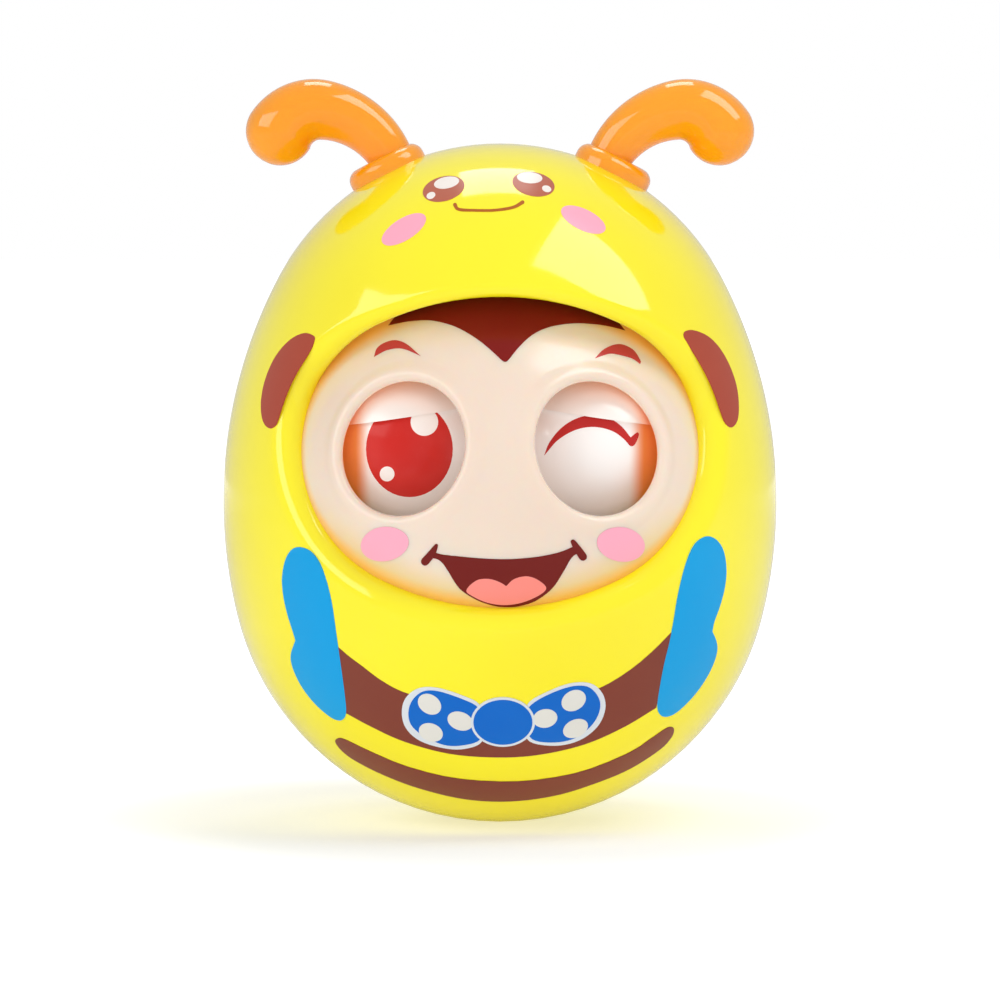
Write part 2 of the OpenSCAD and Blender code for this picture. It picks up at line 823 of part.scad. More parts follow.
front_shell();
back_shell();
shell_screws();
left_antenna();
right_antenna();
face_mask();
face_screws();
eye_bracket();
bracket_screws();
eye_axle();
left_eyeball();
left_eye_back();
left_eyelid();
left_eye_weight();
right_eyeball();
right_eye_back();
right_eyelid();
right_eye_weight();
counterweight();
chime_rods();
chime_bridge();
bridge_screws();
hammer_pin();
hammer_arm();
hammer_bead();
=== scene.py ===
"""Roly-poly toy: an egg body with a bee hood, hooked antennae, a doll's face and tilting eyes.

Lengths are worked out in millimetres, as in the part's drawings, and turned into metres when a
piece is made. The toy looks towards -Y and its own left is on +X. The artwork is given as points of
a 1000 x 1000 front view, and every print is laid on the surface that carries it.
"""
from math import atan, atan2, cos, hypot, pi, radians, sin, sqrt

import bmesh
import bpy
from mathutils import Matrix, Vector


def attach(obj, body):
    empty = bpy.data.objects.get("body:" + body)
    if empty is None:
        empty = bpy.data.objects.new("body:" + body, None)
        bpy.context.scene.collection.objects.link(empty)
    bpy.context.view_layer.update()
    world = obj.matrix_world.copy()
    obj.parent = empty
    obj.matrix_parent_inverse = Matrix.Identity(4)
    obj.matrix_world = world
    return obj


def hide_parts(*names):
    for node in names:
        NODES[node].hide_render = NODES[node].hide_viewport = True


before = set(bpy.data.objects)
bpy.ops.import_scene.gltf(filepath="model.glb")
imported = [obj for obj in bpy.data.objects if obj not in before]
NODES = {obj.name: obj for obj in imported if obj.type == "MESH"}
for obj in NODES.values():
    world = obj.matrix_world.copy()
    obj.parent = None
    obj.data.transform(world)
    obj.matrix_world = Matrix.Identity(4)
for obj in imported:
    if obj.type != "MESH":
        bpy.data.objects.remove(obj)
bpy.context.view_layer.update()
MM = 0.001

# The front view
LOOK_DOWN = radians(3.5)
LOOK_FROM = 850.0
LOOK_AT_Z = 52.1
FOCUS = 5222.0
VIEW = 1000
SENSOR = 36
EYE_POINT = Vector((0, -LOOK_FROM * cos(LOOK_DOWN), LOOK_AT_Z + LOOK_FROM * sin(LOOK_DOWN)))
AHEAD = Vector((0, cos(LOOK_DOWN), -sin(LOOK_DOWN)))
UPWARD = Vector((0, sin(LOOK_DOWN), cos(LOOK_DOWN)))
SIDEWAYS = Vector((1, 0, 0))

camera = bpy.data.objects.new("front_camera", bpy.data.cameras.new("front_camera"))
camera.data.sensor_width = SENSOR
camera.data.lens = FOCUS * SENSOR / VIEW
camera.data.clip_start = 0.05
camera.data.clip_end = 20
camera.location = EYE_POINT * MM
camera.rotation_euler = (pi / 2 - LOOK_DOWN, 0, 0)
bpy.context.scene.collection.objects.link(camera)
bpy.context.scene.camera = camera

# The egg: a base arc, a side arc and a crown arc that run into each other
HALF_D, BODY_H, WALL = 45.0, 110.0, 2.2
BASE_DROP, CROWN_DROP, FLAT_R = 1.0, 4.3, 4.5
BASE_R, CROWN_R = HALF_D - BASE_DROP, HALF_D - CROWN_DROP
BASE_Z = sqrt(BASE_R ** 2 - FLAT_R ** 2)
CROWN_Z = BODY_H - CROWN_R
RISE = CROWN_Z - BASE_Z
ARC_RATIO = 1 - BASE_DROP / CROWN_DROP
ARC_TERM = RISE ** 2 + BASE_DROP * (CROWN_DROP - BASE_DROP)
SIDE_FALL = (RISE - sqrt(RISE ** 2 - ARC_RATIO * ARC_TERM)) / ARC_RATIO
SIDE_BACK = (SIDE_FALL ** 2 - CROWN_DROP ** 2) / (2 * CROWN_DROP)
SIDE_R, SIDE_Z = HALF_D + SIDE_BACK, CROWN_Z - SIDE_FALL
BASE_JOIN = BASE_Z + BASE_R * (BASE_Z - SIDE_Z) / hypot(SIDE_BACK, BASE_Z - SIDE_Z)
CROWN_JOIN = CROWN_Z + CROWN_R * (CROWN_Z - SIDE_Z) / hypot(SIDE_BACK, CROWN_Z - SIDE_Z)

# The face opening, an oval of four arcs
OPEN_Z, END_R, END_X, OPEN_HALF_H = 61.6, 21.6, 9.7, 23.8
LONG_R = (END_X ** 2 + OPEN_HALF_H ** 2 - END_R ** 2) / (2 * (OPEN_HALF_H - END_R))
LONG_DROP = LONG_R - OPEN_HALF_H
SPLIT = sin(atan2(LONG_DROP, END_X))

# Its rolled rim, which is thinner and sits a little higher at the top
RIM_ROLL, RIM_TOP_LESS, RIM_TOP_LIFT, COLLAR_T = 3.4, 1.9, 0.5, 1.5

# The face ball, its eye windows and the eyes
FACE = Vector((0, -6, 54.5))
FACE_R, FACE_T, FACE_BACK_Y = 38.0, 1.8, -18.0
WINDOW_R, WINDOW_YAW, WINDOW_PITCH = 10.65, radians(25.6), radians(12.8)
SEEN_X, SEEN_Z, SEEN_HALF_W, SEEN_HALF_H = 15.05, 62.2, 9.7, 10.5  # a window as the front view sees it
BEAD_R, BEAD_PROUD, BEAD_TURN, BEAD_END, HOLLOW = 1.1, 0.45, radians(60), 14.4, 0.19
BALL_R, LID_R = 11.8, 12.7
EYE_X, EYE_Z, EYE_DEPTH = 14.2, 62.0, 0.55
EYE_OUT = FACE_R - FACE_T - EYE_DEPTH - LID_R
EYE_Y = FACE.y - sqrt(EYE_OUT ** 2 - EYE_X ** 2 - (EYE_Z - FACE.z) ** 2)


def egg_radius(z):
    if z < BASE_JOIN:
        return sqrt(max(BASE_R ** 2 - (z - BASE_Z) ** 2, 0))
    if z > CROWN_JOIN:
        return sqrt(max(CROWN_R ** 2 - (z - CROWN_Z) ** 2, 0))
    return sqrt(SIDE_R ** 2 - (z - SIDE_Z) ** 2) - SIDE_BACK


def egg_normal(p):
    if p.z < BASE_JOIN:
        return (p - Vector((0, 0, BASE_Z))).normalized()
    if p.z > CROWN_JOIN:
        return (p - Vector((0, 0, CROWN_Z))).normalized()
    r = hypot(p.x, p.y)
    return Vector((p.x / r * (r + SIDE_BACK), p.y / r * (r + SIDE_BACK), p.z - SIDE_Z)).normalized()


def egg_y(x, z):
    return -sqrt(max(egg_radius(z) ** 2 - x * x, 0))


def face_y(x, z):
    return FACE.y - sqrt(max(FACE_R ** 2 - x * x - (z - FACE.z) ** 2, 0))


def sight(u, v):
    """The direction in which the front view sees its point (u, v)."""
    return (AHEAD + SIDEWAYS * ((u - VIEW / 2) / FOCUS) + UPWARD * ((VIEW / 2 - v) / FOCUS)).normalized()


class Egg:
    """The egg's outside as a ground for prints."""

    body, slot = "casing", "shell_yellow"

    def meet(self, u, v):
        ray = sight(u, v)
        y = -HALF_D
        for _ in range(40):
            t = (y - EYE_POINT.y) / ray.y
            x, z = EYE_POINT.x + t * ray.x, EYE_POINT.z + t * ray.z
            y = egg_y(x, z)
        return Vector((x, y, z))

    def normal(self, p):
        return egg_normal(p)


class Ball:
    """A ball as a ground for prints."""

    def __init__(self, middle, radius, body, slot):
        self.middle, self.radius = Vector(middle), radius
        self.body, self.slot = body, slot

    def meet(self, u, v):
        ray = sight(u, v)
        to_middle = self.middle - EYE_POINT
        near = to_middle.dot(ray)
        miss = max(self.radius ** 2 - (to_middle.length_squared - near ** 2), 0)
        return EYE_POINT + ray * (near - sqrt(miss))

    def normal(self, p):
        return (p - self.middle).normalized()


WINDOW_AXES = [Vector((side * sin(WINDOW_YAW) * cos(WINDOW_PITCH), -cos(WINDOW_YAW) * cos(WINDOW_PITCH),
                       sin(WINDOW_PITCH))) for side in (1, -1)]
BEAD_S = WINDOW_R + BEAD_R
BEAD_H = sqrt((FACE_R + BEAD_PROUD - BEAD_R) ** 2 - BEAD_S ** 2)
FILLET_S, FILLET_H = BEAD_S + BEAD_R * cos(BEAD_TURN), BEAD_H + BEAD_R * sin(BEAD_TURN)
FILLET_PROUD = hypot(FILLET_S, FILLET_H) - FACE_R


def bead_height(s):
    """How far a bead and the hollow beside it stand out of the ball, at the distance s from the
    window's axis."""
    if s < FILLET_S:
        c = min(max((s - BEAD_S) / BEAD_R, -1), 1)
        return hypot(s, BEAD_H + BEAD_R * sqrt(1 - c * c)) - FACE_R
    t = min(max((s - FILLET_S) / (BEAD_END - FILLET_S), 0), 1)
    return FILLET_PROUD * (1 - t) ** 2 * (1 + 2 * t) - HOLLOW * (BEAD_END - FILLET_S) * t * (1 - t) ** 2


class FaceBall(Ball):
    """The face with its beads."""

    def meet(self, u, v):
        p = super().meet(u, v)
        way = (p - self.middle).normalized()
        s = min(way.cross(axis).length for axis in WINDOW_AXES) * self.radius
        return p + way * bead_height(s)


EGG = Egg()
FACE_BALL = FaceBall(FACE, FACE_R, "casing", "face_skin")
RIGHT_EYE = Ball((-EYE_X, EYE_Y, EYE_Z), BALL_R, "right_eye", "eye_ivory")
LEFT_EYE = Ball((EYE_X, EYE_Y, EYE_Z), BALL_R, "left_eye", "eye_ivory")


# Materials

def node_of(tree, kind, **sockets):
    node = tree.nodes.new(kind)
    for name, value in sockets.items():
        node.inputs[name.replace("_", " ")].default_value = value
    return node


def group(name, inputs, outputs):
    """A shader node group with its ends."""
    tree = bpy.data.node_groups.new(name, "ShaderNodeTree")
    for label, kind, value in inputs:
        socket = tree.interface.new_socket(label, in_out="INPUT", socket_type=kind)
        socket.default_value = value
    for label, kind in outputs:
        tree.interface.new_socket(label, in_out="OUTPUT", socket_type=kind)
    return tree, tree.nodes.new("NodeGroupInput"), tree.nodes.new("NodeGroupOutput")


def feed(tree, socket, value):
    """Sets a socket to a number or a colour, or links it to another node."""
    if isinstance(value, (int, float)):
        socket.default_value = value
    elif isinstance(value, tuple):
        socket.default_value = (*value, 1)
    else:
        tree.links.new(value, socket)


def maths(tree, operation, a, b=None, clamp=False):
    node = tree.nodes.new("ShaderNodeMath")
    node.operation = operation
    node.use_clamp = clamp
    feed(tree, node.inputs[0], a)
    if b is not None:
        feed(tree, node.inputs[1], b)
    return node.outputs[0]


def ramp(tree, value, low, high, to_low=0.0, to_high=1.0):
    node = tree.nodes.new("ShaderNodeMapRange")
    node.interpolation_type = "SMOOTHSTEP"
    ends = {"Value": value, "From Min": low, "From Max": high, "To Min": to_low, "To Max": to_high}
    for name, end in ends.items():
        feed(tree, node.inputs[name], end)
    return node.outputs["Result"]


def blend_colour(tree, share, a, b):
    node = tree.nodes.new("ShaderNodeMix")
    node.data_type = "RGBA"
    for socket, value in zip((node.inputs[0], node.inputs[6], node.inputs[7]), (share, a, b)):
        feed(tree, socket, value)
    return node.outputs[2]


def noise(tree, vector, scale, detail, roughness=0.5):
    node = node_of(tree, "ShaderNodeTexNoise", Detail=detail, Roughness=roughness)
    feed(tree, node.inputs["Scale"], scale)
    feed(tree, node.inputs["Vector"], vector)
    return node.outputs["Fac"]


def place(tree):
    return tree.nodes.new("ShaderNodeTexCoord").outputs["Object"]


def place_parts(tree):
    split = tree.nodes.new("ShaderNodeSeparateXYZ")
    tree.links.new(place(tree), split.inputs[0])
    return split.outputs


TONE_OUTPUTS = [("Colour", "NodeSocketColor"), ("Roughness", "NodeSocketFloat"),
                ("Height", "NodeSocketFloat")]
GLOW_SKIN = 0.2  # up to here outside the face's inner wall, the painted glow of the inside is full


def make_moulded_tone():
    """Moulded plastic: slow drifts of tone, faint polish marks and a fine skin."""
    tree, ends, out = group(
        "moulded_tone",
        [("Colour", "NodeSocketColor", (1, 1, 1, 1)), ("Deep colour", "NodeSocketColor", (0.5, 0.5, 0.5, 1)),
         ("Drift", "NodeSocketFloat", 0.3), ("Polish", "NodeSocketFloat", 0.12)],
        TONE_OUTPUTS)
    here = place(tree)
    slow = noise(tree, here, scale=28.0, detail=2.0)
    fine = noise(tree, here, scale=900.0, detail=3.0, roughness=0.6)
    marks = noise(tree, here, scale=160.0, detail=4.0, roughness=0.7)
    share = maths(tree, "MULTIPLY", ramp(tree, slow, 0.35, 0.75), ends.outputs["Drift"])
    colour = blend_colour(tree, share, ends.outputs["Colour"], ends.outputs["Deep colour"])
    tree.links.new(colour, out.inputs["Colour"])
    polish = maths(tree, "ADD", ends.outputs["Polish"], ramp(tree, marks, 0.45, 0.8, 0.0, 0.05))
    tree.links.new(polish, out.inputs["Roughness"])
    tree.links.new(maths(tree, "ADD", maths(tree, "MULTIPLY", fine, 0.4), slow), out.inputs["Height"])
    return tree


def make_ink_tone():
    """Printed ink: a slightly uneven film with fine pinpricks."""
    tree, ends, out = group(
        "ink_tone",
        [("Colour", "NodeSocketColor", (1, 1, 1, 1)), ("Thin colour", "NodeSocketColor", (1, 1, 1, 1)),
         ("Thinness", "NodeSocketFloat", 0.3)],
        TONE_OUTPUTS)
    here = place(tree)
    film = noise(tree, here, scale=70.0, detail=3.0)
    grain = noise(tree, here, scale=1500.0, detail=2.0)
    share = maths(tree, "MULTIPLY", ramp(tree, film, 0.35, 0.8), ends.outputs["Thinness"])
    share = maths(tree, "ADD", share, ramp(tree, grain, 0.62, 0.8, 0.0, 0.12), clamp=True)
    tree.links.new(blend_colour(tree, share, ends.outputs["Colour"], ends.outputs["Thin colour"]),
                   out.inputs["Colour"])
    tree.links.new(ramp(tree, grain, 0.4, 0.8, 0.16, 0.24), out.inputs["Roughness"])
    tree.links.new(grain, out.inputs["Height"])
    return tree


def make_metal_tone():
    """Drawn or turned metal: long fine streaks and darker specks."""
    tree, ends, out = group(
        "metal_tone",
        [("Colour", "NodeSocketColor", (1, 1, 1, 1)), ("Dull colour", "NodeSocketColor", (0.3, 0.3, 0.3, 1)),
         ("Grain", "NodeSocketFloat", 400.0), ("Roughness", "NodeSocketFloat", 0.3)],
        TONE_OUTPUTS)
    mapping = tree.nodes.new("ShaderNodeMapping")
    mapping.inputs["Scale"].default_value = (1.0, 1.0, 0.12)
    tree.links.new(place(tree), mapping.inputs["Vector"])
    streak = noise(tree, mapping.outputs["Vector"], ends.outputs["Grain"], detail=4.0, roughness=0.65)
    specks = noise(tree, place(tree), scale=220.0, detail=3.0)
    share = maths(tree, "MULTIPLY", ramp(tree, specks, 0.5, 0.75), 0.7)
    tree.links.new(blend_colour(tree, share, ends.outputs["Colour"], ends.outputs["Dull colour"]),
                   out.inputs["Colour"])
    tree.links.new(maths(tree, "ADD", ends.outputs["Roughness"], ramp(tree, streak, 0.3, 0.7, -0.06, 0.1)),
                   out.inputs["Roughness"])
    tree.links.new(streak, out.inputs["Height"])
    return tree


def make_rim_glow():
    """How close a point lies to the edge of the face opening, and to its lower lip: the masks for the
    painted light of the hood's colour shining on the face there."""
    tree, ends, out = group("rim_glow", [("Reach", "NodeSocketFloat", 0.08)],
                            [("Edge", "NodeSocketFloat"), ("Low", "NodeSocketFloat")])
    at = place_parts(tree)
    across = maths(tree, "DIVIDE", at["X"], (END_X + END_R) * MM)
    up = maths(tree, "DIVIDE", maths(tree, "SUBTRACT", at["Z"], OPEN_Z * MM), OPEN_HALF_H * MM)
    powers = [maths(tree, "POWER", maths(tree, "ABSOLUTE", way), 2.1) for way in (across, up)]
    reach = maths(tree, "SQRT", maths(tree, "ADD", *powers))
    width = maths(tree, "ADD", maths(tree, "MULTIPLY", maths(tree, "MULTIPLY", up, up), 1.3), 0.35)
    start = maths(tree, "SUBTRACT", 1.0, maths(tree, "MULTIPLY", width, ends.outputs["Reach"]))
    tree.links.new(ramp(tree, reach, start, 1.01), out.inputs["Edge"])
    tree.links.new(maths(tree, "MULTIPLY", ramp(tree, reach, 0.74, 1.02), ramp(tree, up, -0.2, -0.8)),
                   out.inputs["Low"])
    return tree


def make_eye_shade():
    """How deep a point of an eye lies in the gap at the outer side of its window, where an orange
    shade and glow are painted on.
    """
    tree, ends, out = group(
        "eye_shade", [("Start", "NodeSocketFloat", 6.4), ("Width", "NodeSocketFloat", 1.6)],
        [("Gap", "NodeSocketFloat")])
    outward = maths(tree, "SUBTRACT", maths(tree, "ABSOLUTE", place_parts(tree)["X"]), EYE_X * MM)
    outward = maths(tree, "MULTIPLY", outward, 1 / MM)
    far = maths(tree, "ADD", ends.outputs["Start"], ends.outputs["Width"])
    tree.links.new(ramp(tree, outward, ends.outputs["Start"], far), out.inputs["Gap"])
    return tree


def make_inner_glow():
    """The inside of the face, and the part of it beside and above the eye windows, where a glow is
    painted in place of the light that shines through."""
    tree, ends, out = group(
        "inner_glow", [("Depth", "NodeSocketFloat", (FACE_R - FACE_T + GLOW_SKIN) * MM)],
        [("Inside", "NodeSocketFloat"), ("Outer", "NodeSocketFloat")])
    away = tree.nodes.new("ShaderNodeVectorMath")
    away.operation = "DISTANCE"
    tree.links.new(place(tree), away.inputs[0])
    away.inputs[1].default_value = FACE * MM
    skin = maths(tree, "ADD", ends.outputs["Depth"], MM)
    inside = ramp(tree, away.outputs["Value"], skin, ends.outputs["Depth"])
    tree.links.new(inside, out.inputs["Inside"])
    at = place_parts(tree)
    across = maths(tree, "SUBTRACT", maths(tree, "ABSOLUTE", at["X"]), SEEN_X * MM)
    across = maths(tree, "DIVIDE", across, SEEN_HALF_W * MM)
    up = maths(tree, "DIVIDE", maths(tree, "SUBTRACT", at["Z"], SEEN_Z * MM), SEEN_HALF_H * MM)
    lean = maths(tree, "ADD", maths(tree, "MULTIPLY", across, 0.75), maths(tree, "MULTIPLY", up, 0.65))
    tree.links.new(maths(tree, "MULTIPLY", inside, ramp(tree, lean, -0.2, 0.7)), out.inputs["Outer"])
    return tree


MOULDED, INK, METAL = make_moulded_tone(), make_ink_tone(), make_metal_tone()
RIM_GLOW, EYE_SHADE, INNER_GLOW = make_rim_glow(), make_eye_shade(), make_inner_glow()
BLACK = (0.0, 0.0, 0.0)


def linear(r, g, b):
    """A colour read off a screen, as the shader wants it."""
    shares = (r / 255, g / 255, b / 255)
    return tuple(c / 12.92 if c <= 0.04045 else ((c + 0.055) / 1.055) ** 2.4 for c in shares)


def glow_with(tree, shader, colour):
    tree.links.new(colour, shader.inputs["Emission Color"])
    shader.inputs["Emission Strength"].default_value = 1.0


def finish(name, tone, values, bump=0.0, bump_reach=0.0002, lit=0.0, **shader_values):
    """A material whose colour, gloss and fine relief come from a tone group; lit is the share of its own
    colour that it gives off as a painted glow, in place of light shining through thin plastic."""
    material = bpy.data.materials.new(name)
    material.use_nodes = True
    tree = material.node_tree
    shader = tree.nodes["Principled BSDF"]
    for label, value in shader_values.items():
        shader.inputs[label.replace("_", " ")].default_value = value
    source = tree.nodes.new("ShaderNodeGroup")
    source.node_tree = tone
    for label, value in values.items():
        feed(tree, source.inputs[label], value)
    tree.links.new(source.outputs["Colour"], shader.inputs["Base Color"])
    tree.links.new(source.outputs["Roughness"], shader.inputs["Roughness"])
    if lit:
        # painted glow: the material gives off a share of its own colour
        glow_with(tree, shader, blend_colour(tree, 1 - lit, source.outputs["Colour"], BLACK))
    if bump:
        relief = node_of(tree, "ShaderNodeBump", Strength=bump, Distance=bump_reach)
        tree.links.new(source.outputs["Height"], relief.inputs["Height"])
        tree.links.new(relief.outputs["Normal"], shader.inputs["Normal"])
    return material


def tint(material, mask_group, output, strength, colour, glow=0.0, **values):
    """Paints a second colour into a material where a mask group says so, as painted light or shade, and with
    glow a painted glow there in place of the light that shines through."""
    tree = material.node_tree
    shader = tree.nodes["Principled BSDF"]
    base = shader.inputs["Base Color"].links[0].from_socket
    mask = tree.nodes.new("ShaderNodeGroup")
    mask.node_tree = mask_group
    for label, value in values.items():
        mask.inputs[label].default_value = value
    share = maths(tree, "MULTIPLY", mask.outputs[output], strength)
    tree.links.new(blend_colour(tree, share, base, colour), shader.inputs["Base Color"])
    if glow:
        before = shader.inputs["Emission Color"].links
        before = before[0].from_socket if before else BLACK
        glow_with(tree, shader, blend_colour(tree, share, before, tuple(c * glow for c in colour)))


def moulded(name, colour, deep, polish, drift=0.5, bump=0.03, **shader_values):
    values = {"Colour": colour, "Deep colour": deep, "Drift": drift, "Polish": polish}
    return finish(name, MOULDED, values, bump, **shader_values)


def metal(name, colour, dull, grain, roughness, bump=0.1, bump_reach=0.0001):
    values = {"Colour": colour, "Dull colour": dull, "Grain": grain, "Roughness": roughness}
    return finish(name, METAL, values, bump, bump_reach, Metallic=1.0)


shell_yellow = moulded(
    "shell_yellow_gloss", linear(255, 242, 28), linear(252, 232, 24), polish=0.08, bump=0.012,
    Coat_Weight=0.35, Coat_Roughness=0.03)
antenna_orange = moulded(
    "antenna_orange_gloss", linear(255, 164, 16), linear(254, 148, 10), polish=0.08, drift=0.6,
    Coat_Weight=0.4, Coat_Roughness=0.03, Subsurface_Weight=0.15, Subsurface_Scale=0.003,
    Subsurface_Radius=(1.0, 0.4, 0.05))
face_skin = moulded(
    "face_skin_satin", linear(243, 224, 208), linear(238, 215, 196), polish=0.22,
    Coat_Weight=0.25, Coat_Roughness=0.06, Subsurface_Weight=0.5, Subsurface_Scale=0.003,
    Subsurface_Radius=(1.0, 0.45, 0.25))
# painted bounce light: the hood's yellow and orange tinted onto the face along the opening's edge and lower
# lip, the edge also with a painted glow
tint(face_skin, RIM_GLOW, "Low", 0.85, linear(240, 204, 96))
tint(face_skin, RIM_GLOW, "Edge", 0.85, linear(242, 174, 68), glow=0.18, Reach=0.085)
# painted glow: the face's inside glows pale skin, and orange beside and above the windows, in place of light
# shining through the thin plastic
tint(face_skin, INNER_GLOW, "Inside", 1.0, linear(244, 226, 214), glow=0.22)
tint(face_skin, INNER_GLOW, "Outer", 1.0, linear(246, 164, 88), glow=0.22)
# the lid gives off a painted glow of its own colour (lit)
lid_skin = moulded(
    "lid_skin_satin", linear(248, 240, 234), linear(244, 234, 226), polish=0.2, lit=0.07,
    Coat_Weight=0.15, Coat_Roughness=0.1)
# painted shade: an orange tint with a painted glow on the lid's outer side, in the window's gap
tint(lid_skin, EYE_SHADE, "Gap", 0.75, linear(236, 150, 80), glow=0.12, Start=6.2, Width=3.6)
# the eyeball gives off a painted glow of its own colour (lit)
eye_ivory = moulded(
    "eye_ivory_gloss", linear(248, 243, 240), linear(244, 236, 231), polish=0.16, lit=0.1,
    Coat_Weight=0.15, Coat_Roughness=0.08)
# painted shade: an orange tint with a painted glow on the eyeball's outer side, in the window's gap
tint(eye_ivory, EYE_SHADE, "Gap", 0.97, linear(230, 136, 62), glow=0.17, Start=5.8, Width=2.8)
inner_plastic = moulded(
    "inner_plastic_moulded", (0.6, 0.6, 0.58), (0.5, 0.5, 0.49), polish=0.42, drift=0.7, bump=0.2)
steel = metal("steel_drawn", (0.62, 0.63, 0.65), (0.42, 0.42, 0.43), grain=900.0, roughness=0.28)
weight_iron = metal("weight_iron_cast", (0.14, 0.13, 0.12), (0.07, 0.065, 0.06), grain=350.0, roughness=0.6,
                    bump=0.5, bump_reach=0.0004)
hammer_brass = metal("hammer_brass_turned", (0.75, 0.52, 0.18), (0.5, 0.33, 0.1), grain=700.0, roughness=0.24)


def ink(name, colour, thin, thinness=0.35, **shader_values):
    values = {"Colour": linear(*colour), "Thin colour": linear(*thin), "Thinness": thinness}
    return finish("ink_" + name, INK, values, bump=0.02, Specular_IOR_Level=0.18, **shader_values)


stripe_brown = ink("stripe_brown", (130, 64, 51), (138, 70, 55))
oval_brown = ink("oval_brown", (172, 74, 56), (186, 84, 60))
wing_blue = ink("wing_blue", (10, 160, 226), (22, 168, 229))
bow_blue = ink("bow_blue", (12, 103, 200), (24, 114, 208))
bow_white = ink("bow_white", (216, 222, 230), (226, 230, 234))
dot_white = ink("dot_white", (224, 222, 216), (232, 230, 224))
blush_pink = ink("blush_pink", (254, 174, 196), (255, 184, 204))
hair_maroon = ink("hair_maroon", (128, 26, 22), (138, 32, 28))
brow_red = ink("brow_red", (192, 62, 62), (204, 76, 72))
mouth_maroon = ink("mouth_maroon", (116, 30, 26), (122, 36, 30))
tongue_pink = ink("tongue_pink", (252, 146, 138), (254, 134, 118))
# the iris, the lash and the eye glints give off a painted glow of their own colour (lit)
iris_red = ink("iris_red", (200, 36, 30), (214, 74, 70), thinness=0.6, lit=0.1)
lash_red = ink("lash_red", (190, 46, 44), (198, 56, 54), lit=0.08)
glint_white = ink("glint_white", (246, 238, 232), (240, 231, 225))
eye_glint_white = ink("eye_glint_white", (250, 242, 236), (246, 236, 230), lit=0.08)
bee_brown = ink("bee_brown", (184, 102, 82), (192, 112, 92))
smile_brown = ink("smile_brown", (178, 98, 38), (188, 110, 44))


# Making pieces

TOUCH = 0.0005  # vertices nearer than this are one
SAME_WAY = 0.85  # a true normal serves where it agrees this well with the polygon's own


def show(name, bm, material, body, replaced=(), true_normal=None, crease=35):
    """Turns a bmesh in millimetres into a finished piece that rides on a body."""
    for edge in bm.edges:
        edge.smooth = len(edge.link_faces) != 2 or edge.calc_face_angle(0) < radians(crease)
    for face in bm.faces:
        face.smooth = True
    mesh = bpy.data.meshes.new(name)
    bm.to_mesh(mesh)
    bm.free()
    if true_normal:
        normals = []
        for polygon in mesh.polygons:
            for index in polygon.vertices:
                true = true_normal(mesh.vertices[index].co)
                normals.append(true if true and true.dot(polygon.normal) > SAME_WAY else Vector((0, 0, 0)))
        mesh.normals_split_custom_set(normals)
    mesh.transform(Matrix.Scale(MM, 4))
    mesh.materials.append(material)
    piece = bpy.data.objects.new(name, mesh)
    bpy.context.scene.collection.objects.link(piece)
    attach(piece, body)
    if replaced:
        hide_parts(*replaced)


def ring_of(bm, places):
    """A closed ring of edges through the given places, in a bmesh that is still empty."""
    verts = bmesh.ops.create_circle(bm, segments=len(places), radius=1)["verts"]
    for vert, at in zip(verts, places):
        vert.co = at
    return verts, list({edge for vert in verts for edge in vert.link_edges})


def carry_on(bm, verts, edges, places):
    """Extrudes the last ring of edges to new places, in the same order."""
    grown = bmesh.ops.extrude_edge_only(bm, edges=edges)["geom"]
    new_edges = [part for part in grown if isinstance(part, bmesh.types.BMEdge)]
    new_verts = {part for part in grown if isinstance(part, bmesh.types.BMVert)}
    ring = []
    for vert, at in zip(verts, places):
        beside = (edge.other_vert(vert) for edge in vert.link_edges)
        partner = next(other for other in beside if other in new_verts)
        partner.co = at
        ring.append(partner)
    return ring, new_edges


def rings(bm, rows):
    """Extrudes ring after ring through the rows of places, and gives the first edges, the last edges and
    the last verts."""
    verts, edges = ring_of(bm, rows[0])
    first = edges
    for row in rows[1:]:
        verts, edges = carry_on(bm, verts, edges, row)
    return first, edges, verts


# Front shell: the egg's front with the rolled rim of the face opening

SEAM_BEVEL, SEAM_GAP = 0.28, 0.06
SEAM_LEAN, RIM_LEAN = 0.008, 0.06  # angles: the outer wall ends before the seam, the inner one before the rim
FLOOR_SHARE = 0.2  # of an inset, by which the flat under the base comes up


def oval_point(a):
    """The opening's outline where it looks in the direction a, seen from the front."""
    if abs(sin(a)) < SPLIT:
        middle = (END_X if cos(a) > 0 else -END_X, OPEN_Z)
        r = END_R
    else:
        middle = (0, OPEN_Z - LONG_DROP if sin(a) > 0 else OPEN_Z + LONG_DROP)
        r = LONG_R
    return middle[0] + r * cos(a), middle[1] + r * sin(a)


def top_share(a):
    """1 at the top of the opening, 0 at its sides and below."""
    return max(sin(a), 0) ** 2


def rim_point(a, d=0.0):
    """The place at the distance d outside the rim's own outline, in the direction a, seen from the front."""
    x, z = oval_point(a)
    d += RIM_TOP_LIFT * top_share(a)
    return x + d * cos(a), z + d * sin(a)


def rim_section(a):
    """The rolled rim in the direction a: its innermost reach, roll radius, middle depth and end angle."""
    roll = RIM_ROLL - RIM_TOP_LESS * top_share(a)
    probe = 0.05

    def surface(d):
        return egg_y(*rim_point(a, d))

    def seat(edge):
        d = roll
        for _ in range(30):
            slope = atan((surface(d + probe) - surface(d - probe)) / (2 * probe))
            d = roll - edge + roll * sin(slope)
        return surface(d) + roll * cos(slope), slope

    front = face_y(*rim_point(a))
    edge = 0.0
    if seat(0.0)[0] > front:
        low, high = 0.0, roll
        for _ in range(30):
            edge = (low + high) / 2
            if seat(edge)[0] - sqrt(roll ** 2 - (roll - edge) ** 2) > front:
                low = edge
            else:
                high = edge
    middle_y, slope = seat(edge)
    return edge, roll, middle_y, slope


